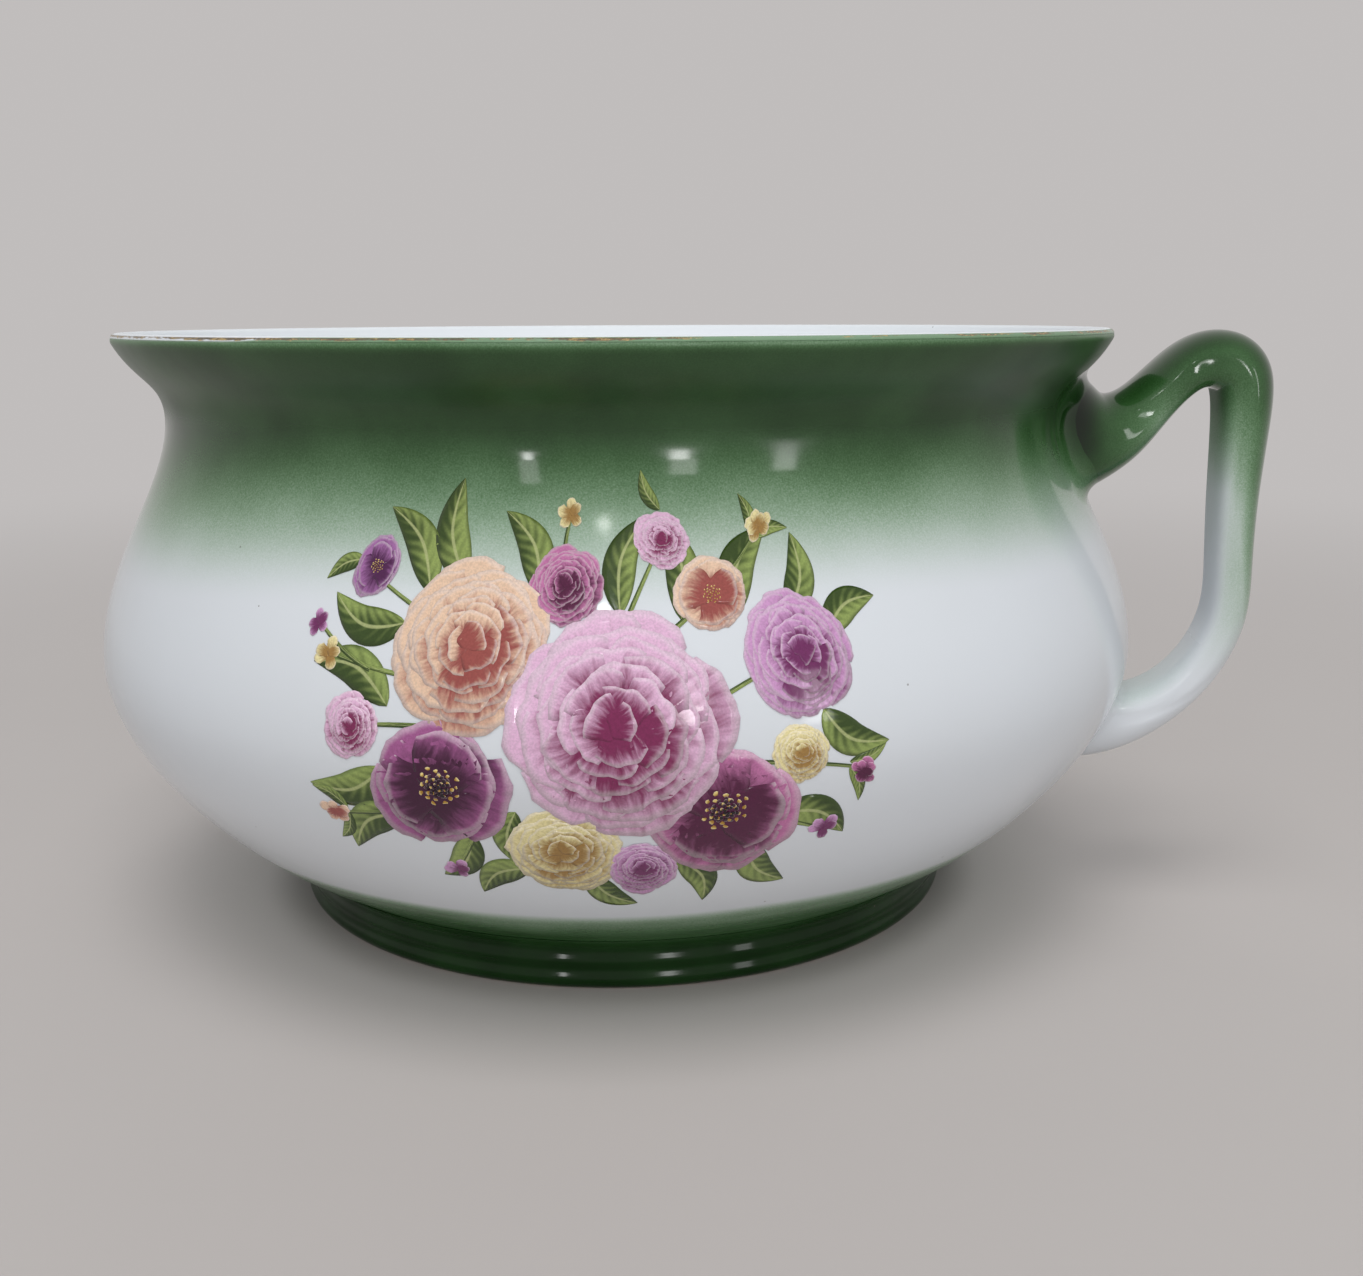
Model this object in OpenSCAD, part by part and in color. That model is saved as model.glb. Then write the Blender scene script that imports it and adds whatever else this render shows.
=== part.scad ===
// Glazed earthenware chamber pot: a waisted round bowl on a turned foot, with one strap handle.
// The pot stands on the XY plane with its axis on Z, and the handle reaches out along +X.

/* [Bowl] */
// Diameter across the lip
rim_d = 230; // [222:1:240]
// Height of the lip above the table
pot_h = 134; // [130:1:142]
// Outside diameter at the waist of the neck
neck_d = 210; // [204:1:216]
// Height of the flare, from the waist of the neck up to the lip
flare_h = 18.5; // [16:0.5:21]
// Outside diameter at the widest part of the belly
belly_d = 244; // [238:1:250]
// Height of the widest part of the belly, as a share of the pot's height
belly_share = 0.463; // [0.44:0.005:0.49]
// Steepness of the flare where it meets the lip, in degrees
flare_angle = 62; // [55:1:70]
// Thickness of the wall at the belly and neck
wall_t = 5; // [4:0.5:6]
// Thickness of the rounded lip
lip_t = 3.2; // [2.6:0.2:4]
// Thickness of the floor
floor_t = 6.5; // [5:0.5:8]
// Radius of the flat part of the floor inside
floor_r = 52; // [44:1:60]
// How far the underside is dished in the middle
base_dish = 1.5; // [0.5:0.5:2.5]

/* [Foot] */
// Outside diameter of the seat where the bowl meets its foot
seat_d = 168; // [160:1:174]
// Height of that seat above the table
seat_z = 13.5; // [12:0.5:16]
// How far the foot's lower bead is set in from the edge of the seat
foot_set_in = 4; // [3:0.5:6]
// Radius of the lower bead, which the pot stands on
lower_bead_r = 2.4; // [2:0.1:2.8]
// Radius of the upper bead
upper_bead_r = 2.2; // [1.8:0.1:2.6]
// Step out from the lower bead to the upper one
bead_step = 0.8; // [0.4:0.1:1.2]
// Thickness of the foot ring at the table, inside the bead
foot_t = 8; // [6.5:0.5:10]
// Lean of the ring's inner wall, from the table up to the seat
foot_lean = 3; // [1:0.5:5]

/* [Handle] */
// How far the outside of the grip stands out from the belly
handle_out = 28; // [25:1:34]
// How far the top of the crown is below the lip
crown_drop = 1; // [0:0.5:5]
// How far the middle of the upper joint is below the waist of the neck
top_joint_drop = 5; // [3:0.5:7]
// Height of the middle of the lower joint, as a share of the pot's height
low_joint_share = 0.31; // [0.29:0.005:0.34]
// Thickness of the grip
grip_t = 9.5; // [8:0.5:11]
// Width of the grip
grip_w = 20; // [17:0.5:24]
// Thickness of the crown
crown_t = 13; // [11:0.5:15]
// Width of the strap at the crown, from where it narrows down to the grip
crown_w = 25; // [21:0.5:29]
// Thickness of the stem below the crown
stem_t = 11; // [10:0.5:13]
// Thickness of the shoulder, where the crown turns down into the grip
shoulder_t = 13; // [11:0.5:15]
// How much the strap swells in the throat, before it opens into the trumpet mouth
throat_swell = 4; // [2:0.5:6]
// Height of the trumpet mouth on the neck
top_mouth_h = 32; // [27:1:35]
// Width of the trumpet mouth on the neck
top_mouth_w = 46; // [38:1:52]
// Height of the lower terminal on the belly
low_mouth_h = 17; // [14:1:20]
// Width of the lower terminal on the belly
low_mouth_w = 23; // [20:1:28]
// Inward lean of the grip between its shoulder and its heel
grip_lean = 1.5; // [0:0.5:3]
// Roundness of the strap's outer face, 2 for an ellipse and more for a flatter face
outer_round = 2.2; // [2:0.1:3]
// Roundness of the strap's inner face
inner_round = 3; // [2:0.1:4]

/* [Joints and decoration] */
// Thickness of the slip in a joint
slip_t = 0.6; // [0.4:0.1:0.8]
// How far the slip squeezes out round a handle joint
slip_squeeze = 0.8; // [0.5:0.1:1.2]
// Thickness of the gilt line on the lip
gilt_t = 0.12; // [0.1:0.02:0.2]
// Where the gilt line starts on the lip's section, in degrees from level
gilt_from = -20; // [-25:5:0]
// Where the gilt line ends on the lip's section
gilt_to = 50; // [30:5:80]
// Thickness of the printed flower film
film_t = 0.15; // [0.12:0.01:0.2]
// Clearance between the flower film and the bowl
film_gap = 0.1; // [0.05:0.01:0.2]
// Direction of the middle of the flower spray from the handle, in degrees
spray_angle = -80; // [-90:1:-70]
// How far the middle of the flower spray is above the widest part of the belly
spray_up = 4; // [0:0.5:8]
// Width of the flower spray
spray_w = 100; // [90:1:106]

/* [Hidden] */
$fn = 96;

rim_r = rim_d / 2;
neck_r = neck_d / 2;
belly_r = belly_d / 2;
seat_r = seat_d / 2;
foot_r = seat_r - foot_set_in;
neck_z = pot_h - flare_h;
belly_z = belly_share * pot_h;
floor_z = seat_z + floor_t;
foot_inner_r = foot_r - lower_bead_r - foot_t;
foot_top_r = foot_inner_r - foot_lean;
foot_top_z = seat_z - slip_t;

// How far each curve of the profile runs straight before it bends, as a share of its own height
lower_h = belly_z - seat_z;
upper_h = neck_z - belly_z;
seat_rise = 26;
seat_pull = 0.34 * lower_h;
belly_pull_down = 0.38 * lower_h;
belly_pull_up = 0.39 * upper_h;
neck_pull_down = 0.28 * upper_h;
neck_pull_up = 0.43 * flare_h;
lip_pull = 0.51 * flare_h;
floor_pull = 0.52 * (belly_r - wall_t - floor_r);
curve_steps = 16;
lip_steps = 8;

glaze_white = [0.93, 0.94, 0.93];
glaze_green = [0.16, 0.33, 0.16];
slip_white = [0.86, 0.86, 0.82];
gilt_gold = [0.72, 0.53, 0.20];
print_pink = [0.78, 0.45, 0.66];

// A cubic curve from a to d that leaves towards b and arrives from c
function curve_point(a, b, c, d, t) =
    pow(1 - t, 3) * a + 3 * pow(1 - t, 2) * t * b + 3 * (1 - t) * t * t * c + pow(t, 3) * d;
function curve(a, b, c, d, first = 0) =
    [for (i = [first : curve_steps]) curve_point(a, b, c, d, i / curve_steps)];

// A circular arc from angle a0 to a1
function arc(centre, r, a0, a1, steps = lip_steps) =
    [for (i = [0 : steps]) centre + r * direction(a0 + (a1 - a0) * i / steps)];
function direction(a) = [cos(a), sin(a)];
function reversed(points) = [for (i = [len(points) - 1 : -1 : 0]) points[i]];

// The lip is a half round, and the flare runs into its outer side
lip_centre = [rim_r - lip_t / 2, pot_h - lip_t / 2];
flare_end = lip_centre + lip_t / 2 * direction(flare_angle - 90);
flare_start_inside = lip_centre - lip_t / 2 * direction(flare_angle - 90);

function lip_round() = arc(lip_centre, lip_t / 2, flare_angle - 90, flare_angle + 90);

// The outside of the bowl, from its seat on the foot up to the lip, moved out by grow
function outer_wall(grow = 0) = concat(
    curve([seat_r + grow, seat_z],
          [seat_r + grow, seat_z] + seat_pull * direction(seat_rise),
          [belly_r + grow, belly_z - belly_pull_down],
          [belly_r + grow, belly_z]),
    curve([belly_r + grow, belly_z],
          [belly_r + grow, belly_z + belly_pull_up],
          [neck_r + grow, neck_z - neck_pull_down],
          [neck_r + grow, neck_z], 1),
    curve([neck_r + grow, neck_z],
          [neck_r + grow, neck_z + neck_pull_up],
          flare_end + [grow, 0] - lip_pull * direction(flare_angle),
          flare_end + [grow, 0], 1)
);

// The inside of the bowl, from the lip down to the flat of the floor
function inner_wall() = concat(
    curve(flare_start_inside,
          flare_start_inside - lip_pull * direction(flare_angle),
          [neck_r - wall_t, neck_z + neck_pull_up],
          [neck_r - wall_t, neck_z], 1),
    curve([neck_r - wall_t, neck_z],
          [neck_r - wall_t, neck_z - neck_pull_down],
          [belly_r - wall_t, belly_z + belly_pull_up],
          [belly_r - wall_t, belly_z], 1),
    curve([belly_r - wall_t, belly_z],
          [belly_r - wall_t, belly_z - belly_pull_down],
          [floor_r + floor_pull, floor_z],
          [floor_r, floor_z], 1)
);

// The underside within the foot, dished towards the middle
function underside() =
    curve([0, seat_z + base_dish],
          [foot_top_r / 2, seat_z + base_dish],
          [foot_top_r / 2, seat_z],
          [foot_top_r, seat_z]);

// Half of the bowl, cut through its axis
module bowl_section() {
    polygon(concat([[0, floor_z]], underside(), outer_wall(), lip_round(), inner_wall()));
}

// Radius of the bowl's outside at a height
wall_table = [for (p = outer_wall()) [p[1], p[0]]];
function wall_radius(z) = lookup(z, wall_table);

// The bowl's outside as a filled solid, moved out by grow, for seating what is stuck to it
module filled_bowl(grow = 0) {
    wall = outer_wall(grow);
    rotate_extrude()
        polygon(concat([[0, seat_z]], wall, [[0, wall[len(wall) - 1][1]]]));
}

// A layer over the bowl's outside, from one distance off it to another
module skin(from, to) {
    rotate_extrude()
        polygon(concat(outer_wall(from), reversed(outer_wall(to))));
}

// The handle's centre line is a cubic B-spline. Its stations are [from axis, height, thickness, width].
top_joint_z = neck_z - top_joint_drop;
low_joint_z = low_joint_share * pot_h;
top_r = wall_radius(top_joint_z);
low_r = wall_radius(low_joint_z);
grip_x = belly_r + handle_out - grip_t / 2;
crown_z = pot_h - crown_drop - crown_t / 2;
stem_run = grip_x - top_r;
stem_rise = crown_z - top_joint_z;
grip_drop = crown_z - low_joint_z;
heel_run = grip_x - low_r;
root_sink = 10;

// Each end runs straight into the wall, where the bowl's outside cuts it off
top_root = [for (k = [2, 1, 0]) [top_r - k * root_sink, top_joint_z, top_mouth_h, top_mouth_w]];
low_root = [for (k = [0, 1, 2]) [low_r - k * root_sink, low_joint_z, low_mouth_h, low_mouth_w]];

// The stem and crown: [share of the run, share of the rise, thickness, width]
stem_path = [for (s = [
        [0.28, 0.00, stem_t + throat_swell, crown_w + throat_swell],
        [0.47, 0.50, stem_t, crown_w - 1],
        [0.66, 1.02, stem_t, crown_w],
        [0.84, 1.06, crown_t + 1, crown_w],
        [0.98, 0.86, shoulder_t, crown_w]])
    [top_r + s[0] * stem_run, top_joint_z + s[1] * stem_rise, s[2], s[3]]];

// The grip: [share of the drop, share of the lean, thickness, share of the narrowing from the crown]
grip_path = [for (g = [
        [0.19, 0.7, (grip_t + shoulder_t) / 2, 0.20],
        [0.38, 1.1, grip_t + 0.5, 0.55],
        [0.54, 0.9, grip_t, 0.80],
        [0.70, 0.6, grip_t, 1.00]])
    [grip_x - g[1] * grip_lean, crown_z - g[0] * grip_drop, g[2], crown_w + g[3] * (grip_w - crown_w)]];

// The heel: [share of the run, share of the drop, thickness, width]
heel_path = [for (h = [
        [0.72, 0.13, grip_t, grip_w],
        [0.36, 0.03, grip_t + 2, grip_w + 1]])
    [low_r + h[0] * heel_run, low_joint_z + h[1] * grip_drop, h[2], h[3]]];

stations = concat(top_root, stem_path, grip_path, heel_path, low_root);
spans = len(stations) - 3;
rings_per_span = 5;
strap_sides = 24;

// A point of the spline, and its slope, at u spans from its start
function spline_at(u) =
    let (i = min(floor(u), spans - 1), t = u - i)
    (pow(1 - t, 3) * stations[i]
        + (3 * pow(t, 3) - 6 * t * t + 4) * stations[i + 1]
        + (-3 * pow(t, 3) + 3 * t * t + 3 * t + 1) * stations[i + 2]
        + pow(t, 3) * stations[i + 3]) / 6;
slope_step = 0.02;
function slope_at(u) =
    let (d = spline_at(min(u + slope_step, spans)) - spline_at(max(u - slope_step, 0)))
    [d[0], d[1]] / norm([d[0], d[1]]);

// A signed power keeps the strap's section closed on both sides
function bent(v, p) = sign(v) * pow(abs(v), p);

// One ring of the strap: its outer face towards the normal of the path, its width along Y
function strap_ring(u, grow) =
    let (s = spline_at(u), d = slope_at(u), half_t = s[2] / 2 + grow, half_w = s[3] / 2 + grow)
    [for (k = [0 : strap_sides - 1])
        let (a = 360 * k / strap_sides,
             p = 2 / (cos(a) > 0 ? outer_round : inner_round),
             out = half_t * bent(cos(a), p))
        [s[0] - d[1] * out, half_w * bent(sin(a), p), s[1] + d[0] * out]];

// The strap between two places on the spline, as one closed skin
module strap(from = 0, to = spans, grow = 0) {
    rings = ceil((to - from) * rings_per_span);
    points = [for (r = [0 : rings]) each strap_ring(from + (to - from) * r / rings, grow)];
    sides = [for (r = [0 : rings - 1], k = [0 : strap_sides - 1])
        let (k2 = (k + 1) % strap_sides, a = r * strap_sides, b = a + strap_sides)
        each [[a + k, a + k2, b + k2], [a + k, b + k2, b + k]]];
    ends = [[for (k = [0 : strap_sides - 1]) strap_sides - 1 - k],
            [for (k = [0 : strap_sides - 1]) rings * strap_sides + k]];
    polyhedron(points, concat(sides, ends));
}

// Spans that hold each end of the handle, for the slip round it
top_end_spans = 2;
low_end_spans = 2;

// The foot's outline: two beads, and a cove that leads up to the seat
bead_edge = 50;
bead_tuck = -20;
cove_turn = 45;
cove_pull = 0.13 * seat_z;
lower_bead = [foot_r - lower_bead_r, lower_bead_r];
upper_bead = [foot_r + bead_step - upper_bead_r, 2 * lower_bead_r + upper_bead_r - bead_step];
cove_start = upper_bead + upper_bead_r * direction(bead_edge);
seat_edge = [seat_r, foot_top_z];

// The blooms of the spray, from its middle, in hundredths of its width: [right, up, radius, petals]
blooms = [
    [5, 2, 21, 11],
    [-21, 15, 16, 9],
    [24, -14, 15, 9],
    [-27, -9, 14, 9],
    [-5, -22, 12, 9],
    [38, 13, 12, 9],
    [-42, 28, 6, 7],
    [14, 33, 6, 7],
];
// The leaves round them: [right, up, length, turn]
leaves = [
    [-42, 8, 14, 165],
    [-38, -20, 14, 205],
    [-17, -27, 13, 210],
    [10, -27, 13, 325],
    [37, -22, 16, 340],
    [27, 26, 16, 30],
    [-13, 28, 11, 100],
];
spray_unit = spray_w / 100;
spray_z = belly_z + spray_up;
petal_share = 0.34;
leaf_share = 0.18;
film_reach = 0.17 * belly_r;

// A bloom's outline: a disc with a round petal tip at each step round its edge
module bloom_outline(r, petals) {
    tip_r = r * petal_share;
    circle(r = r - tip_r / 2);
    for (k = [0 : petals - 1])
        rotate(360 * k / petals)
            translate([r - tip_r, 0])
                circle(r = tip_r);
}

// A leaf's outline: the lens between two equal arcs, with its stalk end at the origin
module leaf_outline(length) {
    half_w = length * leaf_share;
    side_r = (pow(length / 2, 2) + pow(half_w, 2)) / (2 * half_w);
    intersection_for (side = [-1, 1])
        translate([length / 2, side * (side_r - half_w)])
            circle(r = side_r);
}

// Carries a flat outline to its place on the belly and through the wall's outside
module on_belly(right, up) {
    rotate(spray_angle + spray_unit * right / belly_r * 180 / PI)
        translate([belly_r - film_reach, 0, spray_z + spray_unit * up])
            rotate([90, 0, 90])
                linear_extrude(2 * film_reach)
                    scale(spray_unit)
                        children();
}

module bowl() {
    color(glaze_white)
        rotate_extrude()
            bowl_section();
}

module foot_ring() {
    color(glaze_green)
        rotate_extrude()
            polygon(concat(
                [[foot_inner_r, 0]],
                arc(lower_bead, lower_bead_r, -90, bead_edge),
                arc(upper_bead, upper_bead_r, bead_tuck, bead_edge),
                curve(cove_start,
                      cove_start + cove_pull * direction(bead_edge + cove_turn),
                      seat_edge - cove_pull * direction(seat_rise),
                      seat_edge, 1),
                [[foot_top_r, foot_top_z]]
            ));
}

module foot_slip() {
    color(slip_white)
        rotate_extrude()
            translate([foot_top_r, foot_top_z])
                square([seat_r - foot_top_r, slip_t]);
}

module handle() {
    color(glaze_green)
        difference() {
            strap();
            filled_bowl(slip_t);
        }
}

module handle_top_slip() {
    color(slip_white)
        intersection() {
            strap(0, top_end_spans, slip_squeeze);
            skin(0, slip_t);
        }
}

module handle_bottom_slip() {
    color(slip_white)
        intersection() {
            strap(spans - low_end_spans, spans, slip_squeeze);
            skin(0, slip_t);
        }
}

module rim_gilding() {
    color(gilt_gold)
        rotate_extrude()
            difference() {
                polygon(concat([lip_centre], arc(lip_centre, lip_t / 2 + gilt_t, gilt_from, gilt_to)));
                bowl_section();
            }
}

module flower_transfer() {
    color(print_pink)
        intersection() {
            skin(film_gap, film_gap + film_t);
            union() {
                for (b = blooms)
                    on_belly(b[0], b[1])
                        bloom_outline(b[2], b[3]);
                for (l = leaves)
                    on_belly(l[0], l[1])
                        rotate(l[3])
                            leaf_outline(l[2]);
            }
        }
}

bowl();
foot_ring();
foot_slip();
handle();
handle_top_slip();
handle_bottom_slip();
rim_gilding();
flower_transfer();
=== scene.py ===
# %% [markdown]
# # Dressing a chamber pot
# The pot is a round earthenware bowl with a flared rim, a turned foot and one strap handle. It is
# sprayed green at the top and the foot, and carries a printed spray of flowers. The solids come
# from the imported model, which stays where it is and sets every size. Each piece is then made again
# here with a finer surface and a glaze, in metres.

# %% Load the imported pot
import math

import bmesh
import bpy
import numpy as np
from mathutils import Matrix, Vector


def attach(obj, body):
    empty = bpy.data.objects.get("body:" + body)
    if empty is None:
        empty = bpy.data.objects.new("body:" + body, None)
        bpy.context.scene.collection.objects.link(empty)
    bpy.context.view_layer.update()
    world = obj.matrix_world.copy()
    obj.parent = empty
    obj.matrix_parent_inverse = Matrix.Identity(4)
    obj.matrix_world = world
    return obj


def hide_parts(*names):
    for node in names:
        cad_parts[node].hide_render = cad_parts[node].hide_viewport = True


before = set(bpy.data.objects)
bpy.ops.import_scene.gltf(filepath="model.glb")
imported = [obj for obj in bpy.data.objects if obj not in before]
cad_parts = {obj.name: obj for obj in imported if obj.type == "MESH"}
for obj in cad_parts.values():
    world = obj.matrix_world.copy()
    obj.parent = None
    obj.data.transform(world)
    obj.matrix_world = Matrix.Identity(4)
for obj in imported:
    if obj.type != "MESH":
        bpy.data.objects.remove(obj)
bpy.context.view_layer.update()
MM = 0.001


def mm(*lengths):
    """Lengths in mm, as metres."""
    return tuple(length * MM for length in lengths)


# %% [markdown]
# ## The camera
# The photograph was taken from close by, a little above the rim, so the rim is almost a line and
# the foot shows as a deep curve. Both ellipses fix the distance, the height and the tilt, and the
# handle's place fixes how far the pot was turned. A camera could be moved by eye, but measured
# numbers stay put.

# %% Place the camera
EYE_DISTANCE = 364 * MM
EYE_HEIGHT = 137.6 * MM
EYE_TURN = math.radians(13.0)
EYE_HEADING = math.radians(10.67)
EYE_TILT = math.radians(12.41)
EYE_ROLL = math.radians(-0.28)
FOCAL_PIXELS = 1476
PHOTO_WIDTH = 1363
SENSOR_WIDTH = 36
NEAREST = 10 * MM

scene = bpy.context.scene


def put_in_scene(name, data):
    """A new object with this data."""
    made = bpy.data.objects.new(name, data)
    scene.collection.objects.link(made)
    return made


camera_data = bpy.data.cameras.new("photo_camera")
camera_data.sensor_width = SENSOR_WIDTH
camera_data.lens = FOCAL_PIXELS / PHOTO_WIDTH * SENSOR_WIDTH
camera_data.clip_start = NEAREST
camera = put_in_scene("photo_camera", camera_data)
camera.location = (EYE_DISTANCE * math.sin(EYE_TURN), -EYE_DISTANCE * math.cos(EYE_TURN),
                   EYE_HEIGHT)
turn = (Matrix.Rotation(EYE_HEADING, 3, "Z")
        @ Matrix.Rotation(math.pi / 2 - EYE_TILT, 3, "X")
        @ Matrix.Rotation(EYE_ROLL, 3, "Z"))
camera.rotation_euler = turn.to_euler()
scene.camera = camera
print("lens", round(camera_data.lens, 2), "mm")

# %% [markdown]
# ## Small helpers for node trees
# Shaders and Geometry Nodes are both trees of nodes, and building them in code repeats the same
# steps: add a node, set or link its inputs, take an output. One helper does all of it in the tree
# that is in hand. Its result is a Wire, and a sum on wires adds the nodes that work it out, so a
# formula reads as a formula.

# %% Node helpers
class Wire:
    """One output of a node, which takes part in sums as a number does."""

    def __init__(self, socket):
        self.socket = socket

    def __lt__(self, limit):
        return calc("LESS_THAN", self, limit)

    def __gt__(self, limit):
        return calc("GREATER_THAN", self, limit)


SUMS = {"add": "ADD", "sub": "SUBTRACT", "mul": "MULTIPLY", "truediv": "DIVIDE", "pow": "POWER"}
for method, operation in SUMS.items():
    setattr(Wire, f"__{method}__", lambda a, b, kind=operation: calc(kind, a, b))
    setattr(Wire, f"__r{method}__", lambda a, b, kind=operation: calc(kind, b, a))

in_hand = []


def begin(tree):
    """Empties a tree and takes it in hand for the nodes that follow."""
    tree.nodes.clear()
    in_hand[:] = [tree]


def node(kind, inputs=None, **settings):
    """Adds one node to the tree in hand, with its settings and its inputs."""
    tree = in_hand[0]
    made = tree.nodes.new(kind)
    for name, value in settings.items():
        setattr(made, name, value)
    for key, value in (inputs or {}).items():
        if isinstance(value, Wire):
            tree.links.new(value.socket, made.inputs[key])
        else:
            made.inputs[key].default_value = value
    return made


def shade(kind, inputs=None, out=0, **settings):
    """One output of a new shader node."""
    return Wire(node("ShaderNode" + kind, inputs, **settings).outputs[out])


def calc(operation, a, b=0.0, clamp=False):
    """One sum on numbers or wires."""
    return shade("Math", {0: a, 1: b}, operation=operation, use_clamp=clamp)


print("a wire can", ", ".join(SUMS.values()))


# %% Helpers for colours and places
def blend_colour(share, first, second, mode="MIX"):
    """Mixes two colours by a share from 0 to 1."""
    return shade("Mix", {0: share, 6: first, 7: second}, 2, data_type="RGBA", blend_type=mode)


def smooth_rise(value, low, high, to_low=0.0, to_high=1.0):
    """Goes softly from one number to another as value goes from low to high."""
    limits = {"From Min": low, "From Max": high, "To Min": to_low, "To Max": to_high}
    return shade("MapRange", {"Value": value, **limits}, interpolation_type="SMOOTHSTEP")


def noise(place, scale, detail=2.0, roughness=0.5):
    """Soft random patches; scale is how many there are in a metre."""
    grain = {"Scale": scale, "Detail": detail, "Roughness": roughness}
    return shade("TexNoise", {"Vector": place, **grain})


def split(place):
    """The three numbers of a place."""
    return [Wire(socket) for socket in node("ShaderNodeSeparateXYZ", {0: place}).outputs]


def vector(x=0.0, y=0.0, z=0.0):
    """A place or direction from three numbers."""
    return shade("CombineXYZ", {"X": x, "Y": y, "Z": z})


def on_vectors(operation, first, other):
    """One sum on two vectors, or on a vector and its scale."""
    key = "Scale" if operation == "SCALE" else 1
    return shade("VectorMath", {0: first, key: other}, operation=operation)


def new_material(name):
    """A material with its tree in hand, and the place of a point on the piece."""
    made = bpy.data.materials.new(name)
    made.use_nodes = True
    begin(made.node_tree)
    return made, shade("TexCoord", out="Object")


print("helpers for colours and places ready")

# %% [markdown]
# ## Floor, air and lamps
# A plain pale floor carries the shadow. Near the pot a little glow is painted into the floor as
# painted light that lightens the pot's shadow, and the glow stops at the foot, which paints a dark
# contact shadow round it. Far from the pot the floor turns into the same pale tone as the air behind
# it, so no horizon shows. The photograph's highlights are small and window-like: three low in front
# of the pot, two of them with a dimmer pane above, and one higher. Their places on the glaze tell
# the direction of each lamp.

# %% Floor and air
AIR_TONE = (0.53, 0.51, 0.505, 1)
FLOOR_TONES = ((0.52, 0.48, 0.46, 1), (0.54, 0.50, 0.48, 1))
FLOOR_MOTTLE = (9.0, 4.0)  # a noise: patches in a metre, detail
FLOOR_ROUGHNESS = 0.7
FLOOR_REACH = 8.0
FLOOR_CORNERS = ((-1, -1), (1, -1), (1, 1), (-1, 1))
# painted light: the share of glow in the floor near the pot, which lightens the pot's shadow
PAINTED_SHADOW_LIFT = 0.17
FADE_TO_AIR = (0.22, 0.95)
# painted contact shadow: inside these distances from the axis the painted glow goes, so the floor is
# darker round the foot
PAINTED_CONTACT_SHADOW = (0.080, 0.092)
SKY_TONE = (0.93, 0.97, 1.0, 1)
SKY_STRENGTH = 0.39

scene.world = bpy.data.worlds.new("soft_room")
scene.world.use_nodes = True
begin(scene.world.node_tree)
shown = 0.0
for ray in ("Is Camera Ray", "Is Glossy Ray", "Is Transmission Ray"):
    shown = calc("MAXIMUM", shade("LightPath", out=ray), shown)
seen = shade("Background", {"Color": AIR_TONE, "Strength": 1.0})
lit = shade("Background", {"Color": SKY_TONE, "Strength": SKY_STRENGTH})
node("ShaderNodeOutputWorld", {"Surface": shade("MixShader", {0: shown, 1: lit, 2: seen})})

floor_finish, place = new_material("pale_floor")
away = shade("VectorMath", {0: place}, "Value", operation="LENGTH")
tone = blend_colour(noise(place, *FLOOR_MOTTLE), *FLOOR_TONES)
matt = shade("BsdfPrincipled", {"Base Color": tone, "Roughness": FLOOR_ROUGHNESS})
glow = shade("Emission", {"Color": AIR_TONE, "Strength": 1.0})
# glow share: painted light near the pot, full backdrop far away, none at the foot as painted contact
# shadow
fade = smooth_rise(away, *FADE_TO_AIR, PAINTED_SHADOW_LIFT, 1.0)
fade = fade - smooth_rise(away, *PAINTED_CONTACT_SHADOW, PAINTED_SHADOW_LIFT, 0.0)
node("ShaderNodeOutputMaterial", {"Surface": shade("MixShader", {0: fade, 1: matt, 2: glow})})

floor_mesh = bpy.data.meshes.new("floor")
floor_points = [(x * FLOOR_REACH, y * FLOOR_REACH, 0) for x, y in FLOOR_CORNERS]
floor_mesh.from_pydata(floor_points, [], [(0, 1, 2, 3)])
floor_mesh.materials.append(floor_finish)
floor = put_in_scene("floor", floor_mesh)
print("floor", 2 * FLOOR_REACH, "m across")

# %% Lamps
LAMP_AIM = Vector((0, 0, 0.08))
NOT_MIRRORED = ("ceiling", "soft_front", "soft_back")
# name: azimuth and elevation seen from the pot in degrees, distance, width, height, watts
LAMPS = {
    "window_left": (-97.5, 6.5, 1.5, 0.05, 0.14, 0.36),
    "window_left_upper": (-97.5, 16, 1.5, 0.105, 0.36, 0.32),
    "window_middle": (-64, 6, 1.5, 0.11, 0.18, 0.9),
    "window_middle_upper": (-63, 14, 1.5, 0.155, 0.25, 0.42),
    "window_right": (-39.5, 7.5, 1.5, 0.14, 0.49, 1.0),
    "lamp_high": (-81, 35.5, 1.5, 0.05, 0.05, 0.2),
    "soft_front": (-78, 34, 1.7, 1.3, 0.8, 6.0),
    "soft_back": (100, 42, 1.8, 1.2, 0.8, 3.0),
    "ceiling": (-82, 70, 1.8, 0.9, 0.9, 13.4),
}
for name, (azimuth, elevation, distance, width, height, watts) in LAMPS.items():
    lamp_data = bpy.data.lights.new(name, "AREA")
    lamp_data.shape = "RECTANGLE"
    lamp_data.size = width
    lamp_data.size_y = height
    lamp_data.energy = watts
    lamp = put_in_scene(name, lamp_data)
    az, el = math.radians(azimuth), math.radians(elevation)
    towards = Vector((math.cos(az) * math.cos(el), math.sin(az) * math.cos(el), math.sin(el)))
    lamp.location = LAMP_AIM + distance * towards
    lamp.rotation_euler = towards.to_track_quat("Z", "Y").to_euler()
    lamp.visible_glossy = name not in NOT_MIRRORED
scene.view_settings.view_transform = "Standard"
print(len(LAMPS), "lamps")

# %% [markdown]
# ## The shape of the wall
# A bowl thrown on a wheel is one curve turned about an axis. The curve is a chain of cubic pieces:
# the underside, the belly, the neck, the flare, the half-round lip and the inside back down to the
# floor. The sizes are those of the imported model, so the glaze lies where the solid is.

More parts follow.
